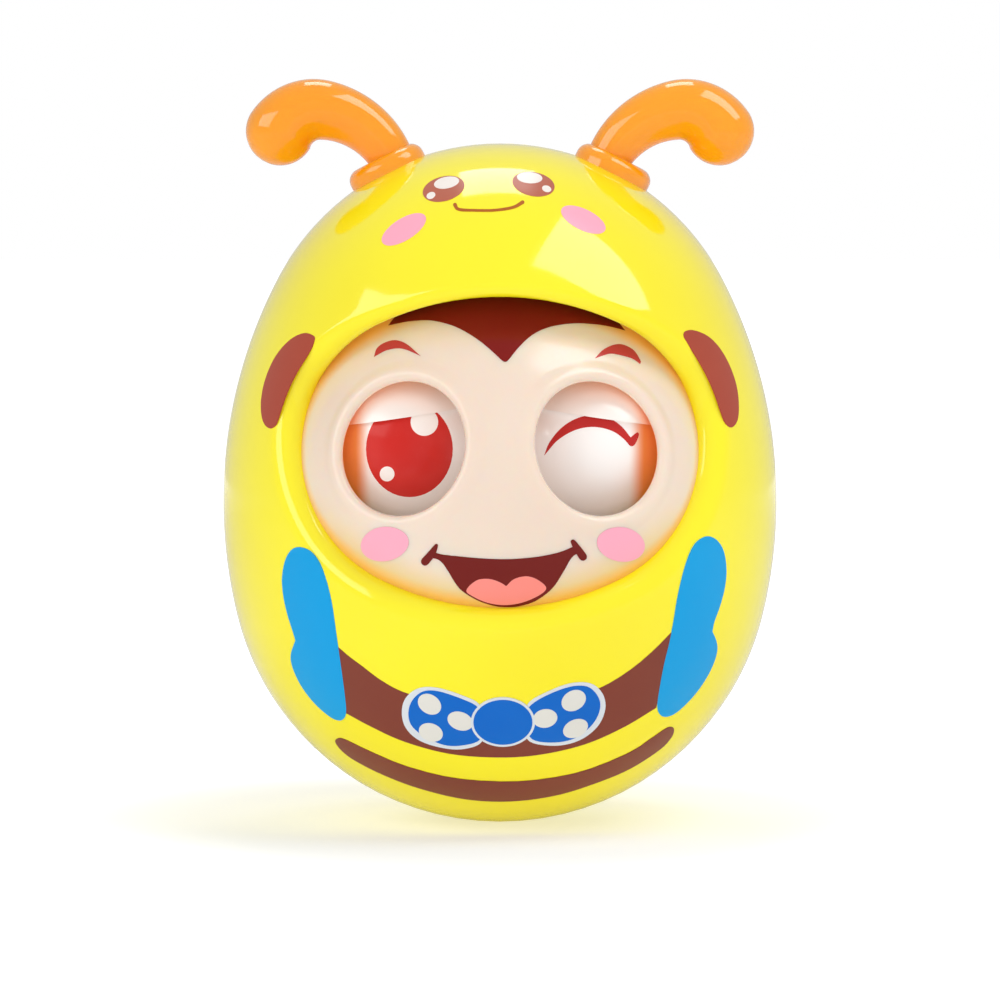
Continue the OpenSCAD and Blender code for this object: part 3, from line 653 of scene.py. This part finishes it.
def egg_out(direction, middle_z, inset=0.0):
    """The point of the egg, smaller by inset, that lies in a direction from a middle on its axis."""
    low, high = 0.0, BODY_H
    for _ in range(40):
        s = (low + high) / 2
        p = direction * s
        z = p.z + middle_z
        if z < inset * FLOOR_SHARE or z > BODY_H or hypot(p.x, p.y) > max(egg_radius(z) - inset, 0):
            high = s
        else:
            low = s
    return Vector((0, 0, middle_z)) + direction * low


def front_shell():
    count = 192
    angles = [2 * pi * k / count for k in range(count)]
    sections = [rim_section(a) for a in angles]

    def rim_place(k, d, y):
        x, z = rim_point(angles[k], d)
        return Vector((x, y, z))

    backs = [max(s[2], face_y(*oval_point(a))) + WALL for s, a in zip(sections, angles)]
    rows = [[rim_place(k, -s[0], backs[k]) for k, s in enumerate(sections)]]
    steps = 14
    for j in range(steps + 1):
        row = []
        for k, (edge, roll, middle_y, slope) in enumerate(sections):
            turn = -pi / 2 + (slope + pi / 2) * j / steps
            row.append(rim_place(k, roll - edge + roll * sin(turn), middle_y - roll * cos(turn)))
        rows.append(row)
    start = [p - Vector((0, 0, OPEN_Z)) for p in rows[-1]]
    bearing = [atan2(p.z, p.x) for p in start]
    lean = [atan2(hypot(p.x, p.z), -p.y) for p in start]

    def way(k, angle):
        return Vector((sin(angle) * cos(bearing[k]), -cos(angle), sin(angle) * sin(bearing[k])))

    # over the egg to the seam, round its small bevel, and back inside the wall to the rim
    last_lean = pi / 2 - SEAM_LEAN
    steps = 30
    for j in range(1, steps + 1):
        leans = [a + (last_lean - a) * j / steps for a in lean]
        rows.append([egg_out(way(k, leans[k]), OPEN_Z) for k in range(count)])
    for inset in (SEAM_BEVEL, WALL):
        row = [egg_out(way(k, pi / 2), OPEN_Z, inset) for k in range(count)]
        rows.append([Vector((p.x, -SEAM_GAP, p.z)) for p in row])
    steps = 9
    for j in range(1, steps):
        leans = [pi / 2 + (a + RIM_LEAN - pi / 2) * j / steps for a in lean]
        rows.append([egg_out(way(k, leans[k]), OPEN_Z, WALL) for k in range(count)])
    rows.append([rim_place(k, COLLAR_T, backs[k]) for k in range(count)])
    bm = bmesh.new()
    first, last, _ = rings(bm, rows)
    bmesh.ops.bridge_loops(bm, edges=first + last)
    bmesh.ops.recalc_face_normals(bm, faces=bm.faces[:])
    return bm


show("front_shell_smooth", front_shell(), shell_yellow, "casing", ["front_shell"])


# Pieces that keep the solid's shape and get true round surfaces

SOLID_TOUCH = 0.001
ON_BALL, ON_EGG, OFF_FLAT = 0.02, 0.05, 0.02  # a vertex this near to a round surface, off the flat, is on it


def from_solid(node):
    bm = bmesh.new()
    bm.from_mesh(NODES[node].data)
    bmesh.ops.scale(bm, vec=(1 / MM,) * 3, verts=bm.verts[:])
    bmesh.ops.remove_doubles(bm, verts=bm.verts[:], dist=SOLID_TOUCH)
    return bm


def round_about(ball, radius):
    def true_normal(p):
        return ball.normal(p) if abs((p - ball.middle).length - radius) < ON_BALL else None
    return true_normal


def egg_outside(p):
    on_egg = abs(hypot(p.x, p.y) - egg_radius(p.z)) < ON_EGG
    return egg_normal(p) if on_egg and p.z > OFF_FLAT else None


show("back_shell_smooth", from_solid("back_shell"), shell_yellow, "casing",
     ["back_shell"], egg_outside)
for side, ball in (("left", LEFT_EYE), ("right", RIGHT_EYE)):
    show(f"{side}_eyeball_smooth", from_solid(f"{side}_eyeball"), eye_ivory, f"{side}_eye",
         [f"{side}_eyeball"], round_about(ball, BALL_R))
    show(f"{side}_eyelid_smooth", from_solid(f"{side}_eyelid"), lid_skin, f"{side}_eye",
         [f"{side}_eyelid"], round_about(ball, LID_R))


# Face: a ball patch with two round windows, each with a soft bead

AT_MIDDLE = 0.002  # a direction this near to the middle plane lies in it


def face_mask():
    count = 112
    axis = WINDOW_AXES[0]
    across = Vector((cos(WINDOW_YAW), sin(WINDOW_YAW), 0))
    up = across.cross(axis) * -1
    bearings = [across * cos(2 * pi * k / count) + up * sin(2 * pi * k / count) for k in range(count)]
    back = (FACE_BACK_Y - FACE.y) / FACE_R

    def toward(k, angle):
        return axis * cos(angle) + bearings[k] * sin(angle)

    def far_angle(k):
        low, high = 0.2, 2.0
        for _ in range(50):
            angle = (low + high) / 2
            d = toward(k, angle)
            low, high = (angle, high) if d.x > 0 and d.y < back else (low, angle)
        return low

    fars = [far_angle(k) for k in range(count)]

    def spread(r, start, share):
        """A ring on a ball, a share of the way from a first ring to the far edge."""
        row = []
        for k in range(count):
            far = toward(k, fars[k])
            if far.x < AT_MIDDLE:
                far.x = 0
            way = (start[k] - FACE).normalized().lerp(far, share)
            row.append(FACE + way.normalized() * r)
        return row

    def round_axis(s, h):
        return [FACE + axis * h + bearings[k] * s for k in range(count)]

    inner_r = FACE_R - FACE_T
    edge = round_axis(WINDOW_R, BEAD_H)
    wall_end = [Vector((p.x, FACE.y - sqrt(inner_r ** 2 - p.x ** 2 - (p.z - FACE.z) ** 2), p.z))
                for p in edge]
    steps = 8
    rows = [spread(inner_r, wall_end, j / steps) for j in range(steps, -1, -1)]
    # straight forward out of the window, over the bead, then down into the ball in a soft hollow
    rows.append([p + (q - p) * 0.5 for p, q in zip(wall_end, edge)])
    steps = 10
    for j in range(steps + 1):
        turn = pi + (BEAD_TURN - pi) * j / steps
        rows.append(round_axis(BEAD_S + BEAD_R * cos(turn), BEAD_H + BEAD_R * sin(turn)))
    for j in range(1, steps + 1):
        share = (FILLET_S + (BEAD_END - FILLET_S) * j / steps) / FACE_R
        r = FACE_R + bead_height(share * FACE_R)
        rows.append([FACE + (axis * sqrt(1 - share ** 2) + way * share) * r for way in bearings])
    start = rows[-1]
    steps = 12
    rows += [spread(FACE_R, start, j / steps) for j in range(1, steps + 1)]
    bm = bmesh.new()
    first, last, _ = rings(bm, rows)
    bmesh.ops.bridge_loops(bm, edges=first + last)
    middle = [face for face in bm.faces if all(abs(v.co.x) < TOUCH for v in face.verts)]
    bmesh.ops.delete(bm, geom=middle, context="FACES")
    bmesh.ops.mirror(bm, geom=bm.verts[:] + bm.edges[:] + bm.faces[:], axis="X", merge_dist=TOUCH)
    bmesh.ops.remove_doubles(bm, verts=bm.verts[:], dist=TOUCH)
    bmesh.ops.recalc_face_normals(bm, faces=bm.faces[:])
    return bm


show("face_mask_smooth", face_mask(), face_skin, "casing", ["face_mask"])


# Antennae: a stalk in two bends with a round tip, on a rounded flange

LEAN, BEND_R, BEND_TURN, HOOK_R, HOOK_TURN = radians(26.6), 14.6, radians(55.5), 7.0, radians(67.5)
FLANGE_R, FLANGE_T, FLANGE_EDGE_R, FLANGE_SINK = 6.5, 2.3, 2.0, 0.9
STALK_R, TIP_R, STALK_SINK, STALK_SHIFT = 3.6, 5.6, 1.0, 1.4


def antenna(side):
    def outward(a):
        return Vector((-cos(a), 0, sin(a)))

    def heading_way(a):
        return Vector((sin(a), 0, cos(a)))

    base = (Vector((0, 0, CROWN_Z)) + heading_way(LEAN) * (CROWN_R + FLANGE_T - STALK_SINK)
            + outward(LEAN) * STALK_SHIFT)
    bend_middle = base - outward(LEAN) * BEND_R
    hook_heading = LEAN + BEND_TURN
    hook_middle = bend_middle + outward(hook_heading) * (BEND_R - HOOK_R)
    bend_share = BEND_R * BEND_TURN / (BEND_R * BEND_TURN + HOOK_R * HOOK_TURN)
    count, rows = 48, []

    def ring(at, heading, r):
        side_way = Vector((cos(heading), 0, -sin(heading)))
        turns = [2 * pi * j / count for j in range(count)]
        return [at + side_way * (r * cos(turn)) + Vector((0, r * sin(turn), 0)) for turn in turns]

    steps = 40
    for i in range(steps + 1):
        t = i / steps
        r = STALK_R + (TIP_R - STALK_R) * t
        if t < bend_share:
            heading = LEAN + BEND_TURN * t / bend_share
            at = bend_middle + outward(heading) * BEND_R
        else:
            heading = hook_heading + HOOK_TURN * (t - bend_share) / (1 - bend_share)
            at = hook_middle + outward(heading) * HOOK_R
        rows.append(ring(at, heading, r))
    steps = 14
    for i in range(1, steps):
        turn = pi / 2 * i / steps
        rows.append(ring(at + heading_way(heading) * (TIP_R * sin(turn)), heading, TIP_R * cos(turn)))
    # the stalk, closed at its round tip and at its root
    bm = bmesh.new()
    first, _, verts = rings(bm, rows)
    bmesh.ops.pointmerge(bm, verts=verts, merge_co=at + heading_way(heading) * TIP_R)
    bmesh.ops.holes_fill(bm, edges=first)
    stalk = set(bm.verts)
    # the flange, turned about the crown's own direction
    top, edge_r = CROWN_R + FLANGE_T, FLANGE_EDGE_R
    profile = [(0, top)]
    steps = 8
    for i in range(steps + 1):
        turn = pi / 2 - pi / 2 * i / steps
        profile.append((FLANGE_R - edge_r + edge_r * cos(turn), top - edge_r + edge_r * sin(turn)))
    profile += [(FLANGE_R, CROWN_R - FLANGE_SINK), (0, CROWN_R - FLANGE_SINK)]
    chain = [bm.verts.new((s, 0, h)) for s, h in profile]
    edges = [bm.edges.new(pair) for pair in zip(chain, chain[1:])]
    bmesh.ops.spin(bm, geom=chain + edges, cent=(0, 0, 0), axis=(0, 0, 1), angle=2 * pi, steps=64,
                   use_merge=True)
    lean = Matrix.Translation((0, 0, CROWN_Z)) @ Matrix.Rotation(LEAN, 4, "Y")
    bmesh.ops.transform(bm, matrix=lean, verts=[vert for vert in bm.verts if vert not in stalk])
    bmesh.ops.remove_doubles(bm, verts=bm.verts[:], dist=TOUCH)
    if side < 0:
        bmesh.ops.scale(bm, vec=(-1, 1, 1), verts=bm.verts[:])
    bmesh.ops.recalc_face_normals(bm, faces=bm.faces[:])
    return bm


for side, sign in (("left", 1), ("right", -1)):
    show(f"{side}_antenna_smooth", antenna(sign), antenna_orange, "casing",
         [f"{side}_antenna"])


# Prints

FILM, FILM_ROOT = 0.035, 0.2
MOST_PULL = 1.2  # of a chord, so that a curve makes no loop
POINT_TOUCH, CUT_TOUCH = 0.05, 0.02  # in points of the front view


def between(p, q, m, n, t):
    """The point at t of the soft line from p to q that starts along m and ends along n."""
    h = (2 * t ** 3 - 3 * t ** 2 + 1, t ** 3 - 2 * t ** 2 + t, 3 * t ** 2 - 2 * t ** 3, t ** 3 - t ** 2)
    return tuple(h[0] * p[c] + h[1] * m[c] + h[2] * q[c] + h[3] * n[c] for c in (0, 1))


def curve(points, corners=(), steps=5):
    """A smooth closed outline through points of the front view, sharp at the corners."""
    count = len(points)

    def slope(i):
        if i % count in corners:
            return None
        a, b = points[(i - 1) % count], points[(i + 1) % count]
        return ((b[0] - a[0]) / 2, (b[1] - a[1]) / 2)

    outline = []
    for i in range(count):
        p, q = points[i], points[(i + 1) % count]
        chord = (q[0] - p[0], q[1] - p[1])
        m, n = slope(i) or chord, slope(i + 1) or chord
        length = hypot(*chord) or 1

        def held(w):
            size = hypot(*w) or 1
            return [c * min(1, MOST_PULL * length / size) for c in w]

        m, n = held(m), held(n)
        outline += [between(p, q, m, n, j / steps) for j in range(steps)]
    return outline


def ellipse(u, v, half_u, half_v, tilt=0.0, count=48):
    turn = radians(tilt)
    return [(u + half_u * cos(a) * cos(turn) - half_v * sin(a) * sin(turn),
             v + half_u * cos(a) * sin(turn) + half_v * sin(a) * cos(turn))
            for a in (2 * pi * k / count for k in range(count))]


def stroke(points, widths, steps=6):
    """The outline of a brush stroke with round ends."""
    line = []
    count = len(points)
    for i in range(count - 1):
        p, q = points[i], points[i + 1]
        a, b = points[max(i - 1, 0)], points[min(i + 2, count - 1)]
        m = [(q[c] - a[c]) / 2 for c in (0, 1)]
        n = [(b[c] - p[c]) / 2 for c in (0, 1)]
        for j in range(steps + (i == count - 2)):
            t = j / steps
            line.append((*between(p, q, m, n, t), widths[i] + (widths[i + 1] - widths[i]) * t))
    there, back = [], []
    for i, (u, v, width) in enumerate(line):
        a, b = line[max(i - 1, 0)], line[min(i + 1, len(line) - 1)]
        way = atan2(b[1] - a[1], b[0] - a[0])
        there.append((u - sin(way) * width / 2, v + cos(way) * width / 2))
        back.append((u + sin(way) * width / 2, v - cos(way) * width / 2))
        if i == 0:
            first_way = way

    def cap(at, way, width):
        turns = [way + pi / 2 - pi * k / 6 for k in range(1, 6)]
        return [(at[0] + cos(turn) * width / 2, at[1] + sin(turn) * width / 2) for turn in turns]

    return there + cap(line[-1], way, line[-1][2]) + back[::-1] + cap(line[0], first_way + pi, line[0][2])


def lay(name, outline, ground, material, layer=1, cell=6.0):
    """A print: an outline of the front view cut into small cells and laid on its ground as a thin film."""
    bm = bmesh.new()
    verts = bmesh.ops.create_circle(bm, cap_ends=True, segments=len(outline), radius=1)["verts"]
    for vert, (u, v) in zip(verts, outline):
        vert.co = (u, -v, 0)
    bmesh.ops.remove_doubles(bm, verts=bm.verts[:], dist=POINT_TOUCH)
    bmesh.ops.triangulate(bm, faces=bm.faces[:])
    for axis in (0, 1):
        reach = [v.co[axis] for v in bm.verts]
        cuts = int((max(reach) - min(reach)) / cell)
        for k in range(1, cuts + 1):
            at, way = [0, 0, 0], [0, 0, 0]
            at[axis] = min(reach) + (max(reach) - min(reach)) * k / (cuts + 1)
            way[axis] = 1
            bmesh.ops.bisect_plane(bm, geom=bm.verts[:] + bm.edges[:] + bm.faces[:],
                                   dist=CUT_TOUCH, plane_co=at, plane_no=way)
    for vert in bm.verts:
        at = ground.meet(vert.co.x, -vert.co.y)
        vert.co = at + ground.normal(at) * (FILM * layer)
    grown = bmesh.ops.extrude_face_region(bm, geom=bm.faces[:], use_keep_orig=True)["geom"]
    for part in grown:
        if isinstance(part, bmesh.types.BMVert):
            part.co -= ground.normal(part.co) * (FILM * layer + FILM_ROOT)
    bmesh.ops.recalc_face_normals(bm, faces=bm.faces[:])
    show(name, bm, material, ground.body, true_normal=ground.normal)


# the hood's bee face
lay("bee_eye_a", ellipse(443.6, 188.9, 21.3, 12.2, -15), EGG, bee_brown)
lay("bee_glint_a", ellipse(446.6, 182.9, 12.7, 5.7, -11), EGG, glint_white, 2)
lay("bee_glint_b", ellipse(431.0, 195.7, 4.6, 3.2, -25), EGG, glint_white, 2)
lay("bee_eye_b", ellipse(533.5, 184.2, 21.3, 11.9, 11), EGG, bee_brown)
lay("bee_glint_c", ellipse(529.6, 178.0, 12.7, 5.6, 4), EGG, glint_white, 2)
lay("bee_glint_d", ellipse(546.6, 189.1, 4.7, 3.2, 18), EGG, glint_white, 2)
lay("bee_smile", stroke(
    [(455, 204.8), (459, 209.4), (476, 210.4), (495, 210.2), (513, 207.4), (522.6, 202.2)],
    [3.8, 3.0, 2.6, 2.7, 2.9, 3.6]), EGG, smile_brown)
lay("hood_blush_a", ellipse(403.9, 229.4, 25.2, 10.8, -32), EGG, blush_pink)
lay("hood_blush_b", ellipse(583.3, 219.7, 24.2, 10.4, 26), EGG, blush_pink)

# the side spots, wings and belly stripes
lay("side_spot_a", curve([
    (305.5, 333), (314.5, 336.5), (313.5, 343), (306.5, 356), (297.5, 370.5), (289.5, 386), (283, 402.5),
    (278, 418), (275, 425.5), (270.5, 428.5), (265, 425), (261.7, 416), (261, 402), (263.5, 386),
    (268.5, 370.5), (275.5, 356.5), (284.5, 345), (294.5, 336.8)]), EGG, oval_brown)
lay("side_spot_b", curve([
    (690.5, 330), (699, 331.8), (709, 337), (718.5, 346.5), (727, 360), (733.5, 375.5), (737.5, 391),
    (738.8, 408), (737.5, 420), (733.5, 426.5), (729, 427), (725, 422), (720.5, 409.5), (715, 393.5),
    (707.5, 376.5), (698.5, 360), (689, 345), (683.5, 336.5), (684.5, 331.8)]), EGG, oval_brown)
lay("wing_a", curve([
    (299.4, 547), (309, 550.5), (317.5, 560), (325.5, 577), (332, 603), (336.5, 634), (341, 665), (345, 695),
    (346.3, 710), (344.5, 717.8), (339, 720.3), (330, 716.5), (315, 703.5), (301.5, 686), (293, 668),
    (291, 654.5), (295.6, 640.3), (292.8, 631), (287.5, 614), (283.4, 595), (282.3, 577), (285.5, 560),
    (291.5, 550)], corners=(16,)), EGG, wing_blue, 2)
lay("wing_b", curve([
    (710, 536.5), (718, 541.5), (723.8, 552), (726.2, 570), (724.5, 588), (719.8, 606), (714.2, 621.5),
    (712.2, 631.5), (716.2, 641), (716.9, 651), (713.2, 664), (705, 680), (692.5, 697), (677.5, 711.5),
    (667, 716.6), (660, 714.6), (657.2, 707), (658.6, 693), (663.5, 666), (669.5, 641), (673.5, 620),
    (677.8, 594.5), (685, 565.5), (694, 546), (702, 538)], corners=(7,)), EGG, wing_blue, 2)
lay("belly_stripe", curve([
    (336, 645), (348, 655.5), (362, 666), (381, 680.2), (402, 691.5), (430, 699.5), (465, 705),
    (502, 706.5), (540, 703.5), (575, 696.5), (603, 686.5), (630, 670), (653, 650.8), (673, 630.5),
    (668, 660), (656, 707.8), (624, 727), (585, 744.2), (540, 754.6), (498, 757.4), (450, 753.8),
    (405, 741.8), (372, 727), (345, 712.5)], corners=(0, 13, 15, 23)), EGG, stripe_brown)
lay("base_stripe", curve([
    (335.3, 740.5), (341.5, 738), (355, 744), (372, 752), (405, 765.6), (450, 777.2), (498, 781.4),
    (540, 779.3), (585, 770.3), (630, 752), (655, 735.5), (668, 727.2), (673.6, 728), (672, 736),
    (661, 748.5), (630, 768.6), (594, 783.6), (555, 795.4), (510, 801.2), (465, 799), (420, 788.4),
    (384, 775), (354, 759.8), (340.4, 749)]), EGG, stripe_brown, 2)

# the bow
lay("bow_back_a", curve([
    (402, 711.8), (406, 697.5), (419, 688), (437.8, 687.7), (462, 695.2), (479, 704), (482, 720), (482, 741),
    (465, 748.4), (444, 747.8), (420, 740.3), (406, 727.5)]), EGG, bow_white, 3)
lay("bow_back_b", curve([
    (528, 703.5), (546, 692.2), (570, 683.3), (590.5, 683.3), (602.5, 693.5), (605, 709), (597, 726.5),
    (579, 740), (555, 745.3), (529, 740.6), (524, 722)]), EGG, bow_white, 3)
lay("bow_lobe_a", curve([
    (408.7, 711.8), (412.6, 699.8), (423, 691.2), (438, 690.8), (462, 698.6), (478, 707.2), (481, 722),
    (480, 739), (462, 744.9), (444, 744.3), (424.6, 736), (411.5, 724.5)]), EGG, bow_blue, 4)
lay("bow_lobe_b", curve([
    (529, 706.8), (546, 695.3), (570, 686.4), (587.6, 686.4), (598, 696.6), (599.6, 708.9), (592.4, 723.6),
    (576, 737), (555, 741.9), (532, 738.6), (526, 722)]), EGG, bow_blue, 4)
for k, (u, v, half_u, half_v, tilt) in enumerate((
        (429.8, 703.6, 12.4, 9.4, 33), (431.1, 731.7, 12.3, 8.8, 20), (460.3, 720.4, 13.0, 9.0, 20),
        (573.4, 700.0, 12.8, 9.8, -30), (575.2, 727.8, 13.0, 8.7, -24), (545.0, 717.8, 12.2, 9.2, -10))):
    lay(f"bow_dot_{k + 1}", ellipse(u, v, half_u, half_v, tilt), EGG, dot_white, 5)
lay("bow_knot_edge", ellipse(502.9, 721.4, 32.0, 24.5), EGG, bow_white, 6)
lay("bow_knot", ellipse(502.9, 721.4, 29.4, 22.3), EGG, bow_blue, 7)

# the doll's face
lay("face_hair", curve([
    (388.4, 325.4), (398, 323.4), (410, 321.2), (432, 320.6), (455, 326.6), (477, 339), (494, 353),
    (503, 361.2), (507.5, 361), (518.5, 347.6), (532.5, 334.8), (549.5, 327), (572, 323.4), (595, 324.2),
    (612, 327), (625, 330.4), (617, 321), (604, 310), (570, 274), (502, 266), (430, 274), (406, 306),
    (395, 317)], corners=(0, 15)), FACE_BALL, hair_maroon)
lay("face_brow_a", curve([
    (374, 357), (376.8, 348.6), (384, 343), (395, 340.2), (406.5, 344), (420.6, 356), (408, 350.4),
    (398, 348.3), (386.8, 350.2), (378.4, 354.4)], corners=(0, 5)), FACE_BALL, brow_red)
lay("face_brow_b", curve([
    (594.6, 358.6), (602.7, 350.2), (612.5, 345.2), (622.4, 344.5), (633.6, 350.2), (640.6, 361),
    (640.2, 364), (632.2, 358.6), (621, 355.3), (611.1, 353.6), (602.7, 355.6)],
    corners=(0, 6)), FACE_BALL, brow_red)
lay("face_blush_a", ellipse(384.8, 543.8, 24.0, 17.2, -10), FACE_BALL, blush_pink, 2, cell=4.0)
lay("face_blush_b", ellipse(620.8, 544.2, 24.0, 17.2, 10), FACE_BALL, blush_pink, 2, cell=4.0)
lay("face_mouth", curve([
    (431, 551), (442, 554.4), (459.6, 556.4), (482, 558.4), (504.5, 559.2), (524, 558.2), (541, 556.2),
    (560, 552), (576, 545.4), (580, 551.6), (573.4, 556), (569.2, 561.4), (563.4, 571.7), (552.2, 588.4),
    (535.4, 601), (518.5, 606.2), (505, 607), (493.3, 605.6), (476.4, 599.8), (459.6, 588.6), (448.4, 571.7),
    (442, 562.6), (436, 558.8), (428.4, 558)], corners=(0, 8, 9, 23)), FACE_BALL, mouth_maroon)
lay("face_mouth_tick_a", stroke([(436.3, 545.6), (431.6, 553.8), (425.2, 561.4)], [3.6, 7.6, 8.4]),
    FACE_BALL, mouth_maroon, 2)
lay("face_mouth_tick_b", stroke([(573, 541.8), (577.6, 549), (582.8, 556.6)], [4.8, 7.4, 8.2]),
    FACE_BALL, mouth_maroon, 2)
lay("face_tongue", curve([
    (466.4, 590.2), (476.4, 580.4), (489, 578.8), (500, 582.2), (506.2, 586), (514.3, 578.9), (527, 576.2),
    (538.2, 580), (546.2, 588), (538, 595.8), (521.3, 602.6), (504.5, 604.9), (487.7, 602.6), (473.6, 596.6)],
    corners=(4,)), FACE_BALL, tongue_pink, 2)

# the eyes
lay("right_iris", ellipse(409.4, 449.2, 43.3, 47.8), RIGHT_EYE, iris_red)
lay("right_glint_big", ellipse(424.3, 422.2, 13.7, 13.7), RIGHT_EYE, eye_glint_white, 2)
lay("right_glint_small", ellipse(387.2, 473.8, 7.3, 7.4), RIGHT_EYE, eye_glint_white, 2)
lay("left_lash", curve([
    (544.2, 455.6), (549.4, 442.6), (560.6, 428.7), (574.6, 419.4), (591.5, 414.9), (608.3, 417.7),
    (621, 426), (630.6, 437.4), (637, 432.4), (638.8, 435), (635, 444.2), (630.4, 446), (624, 439.2),
    (613.9, 431.8), (600, 427.5), (586, 427.4), (571.8, 431.5), (557.8, 440.2), (548.5, 450.4)],
    corners=(0, 7)), LEFT_EYE, lash_red)


# Finishes of the inner solids
for material, names in (
        (steel, "shell_screws face_screws bracket_screws bridge_screws eye_axle left_eye_weight "
                "right_eye_weight chime_rods hammer_pin"),
        (inner_plastic, "eye_bracket chime_bridge hammer_arm"),
        (eye_ivory, "left_eye_back right_eye_back"),
        (weight_iron, "counterweight"),
        (hammer_brass, "hammer_bead")):
    for name in names.split():
        NODES[name].data.materials.clear()
        NODES[name].data.materials.append(material)


# Studio, in metres: a pale floor, a white surround and five soft boxes, of which the front and back ones
# light the toy without showing in its gloss

LIT_PLACE = Vector((0, 0, 0.06))
SURROUND_LIGHT, SURROUND_MIRRORED = 0.33, 0.62
PAPER, PAPER_BOUNCE = 0.6, 0.5
FLOOR_HALF, FLOOR_DROP = 6, 0.00005


def soft_box(name, at, size, radiance, turn=None):
    lamp = bpy.data.lights.new(name, "AREA")
    lamp.shape = "RECTANGLE"
    lamp.size, lamp.size_y = size
    lamp.energy = radiance * pi * size[0] * size[1]
    box = bpy.data.objects.new(name, lamp)
    box.location = at
    box.rotation_euler = turn or (LIT_PLACE - Vector(at)).to_track_quat("-Z", "Y").to_euler()
    bpy.context.scene.collection.objects.link(box)
    return box


soft_box("soft_box_left", (-0.53, -0.33, 0.41), (0.50, 0.34), 2.4)
soft_box("soft_box_right", (0.45, -0.165, 0.59), (0.60, 0.33), 3.7, (0, 0, radians(-10)))
soft_box("soft_box_top", (-0.01, 0.31, 0.70), (0.22, 0.30), 3.8, (0, 0, 0))
soft_box("soft_box_front", (0.0, -1.2, 0.42), (1.0, 0.8), 1.6).visible_glossy = False
soft_box("soft_box_back", (0.0, 1.1, 0.45), (1.4, 0.8), 1.2).visible_glossy = False


def seen_share(tree, mirrored):
    """1 where the eye looks at the background itself or through glass, and less in a reflection."""
    path = tree.nodes.new("ShaderNodeLightPath")
    straight = maths(tree, "MAXIMUM", path.outputs["Is Camera Ray"], path.outputs["Is Transmission Ray"])
    glossy = maths(tree, "MULTIPLY", path.outputs["Is Glossy Ray"], mirrored)
    return maths(tree, "MAXIMUM", straight, glossy)


world = bpy.data.worlds.new("white_studio")
bpy.context.scene.world = world
world.use_nodes = True
surround = world.node_tree.nodes["Background"]
surround.inputs["Color"].default_value = (1, 1, 1, 1)
tree = world.node_tree
strength = maths(tree, "MAXIMUM", seen_share(tree, SURROUND_MIRRORED), SURROUND_LIGHT)
tree.links.new(strength, surround.inputs["Strength"])

floor_bm = bmesh.new()
bmesh.ops.create_grid(floor_bm, x_segments=8, y_segments=8, size=FLOOR_HALF)
floor_mesh = bpy.data.meshes.new("studio_floor")
floor_bm.to_mesh(floor_mesh)
floor_bm.free()
floor = bpy.data.objects.new("studio_floor", floor_mesh)
floor.location.z = -FLOOR_DROP
bpy.context.scene.collection.objects.link(floor)
paper = bpy.data.materials.new("studio_paper")
paper.use_nodes = True
tree = paper.node_tree
shader = tree.nodes["Principled BSDF"]
shader.inputs["Base Color"].default_value = (PAPER, PAPER, PAPER, 1)
shader.inputs["Roughness"].default_value = 0.9
shader.inputs["Specular IOR Level"].default_value = 0.1
shader.inputs["Emission Color"].default_value = (1, 1, 1, 1)
away = tree.nodes.new("ShaderNodeVectorMath")
away.operation = "LENGTH"
tree.links.new(place(tree), away.inputs[0])
# far off the paper gets less lamp light, which its own white makes up in the gloss; near the toy it is
# held back, so that the shadow stays
mirrored = ramp(tree, away.outputs["Value"], low=0.2, high=1.4, to_low=0.15, to_high=0.42)
clear = ramp(tree, away.outputs["Value"], low=0.045, high=0.11, to_low=0.45, to_high=1.0)
white = maths(tree, "MULTIPLY", seen_share(tree, mirrored), clear)
path = tree.nodes.new("ShaderNodeLightPath")
bounce = maths(tree, "MULTIPLY", path.outputs["Is Diffuse Ray"], PAPER_BOUNCE)
tree.links.new(maths(tree, "MAXIMUM", white, bounce), shader.inputs["Emission Strength"])
floor_mesh.materials.append(paper)

bpy.context.scene.view_settings.view_transform = "Standard"
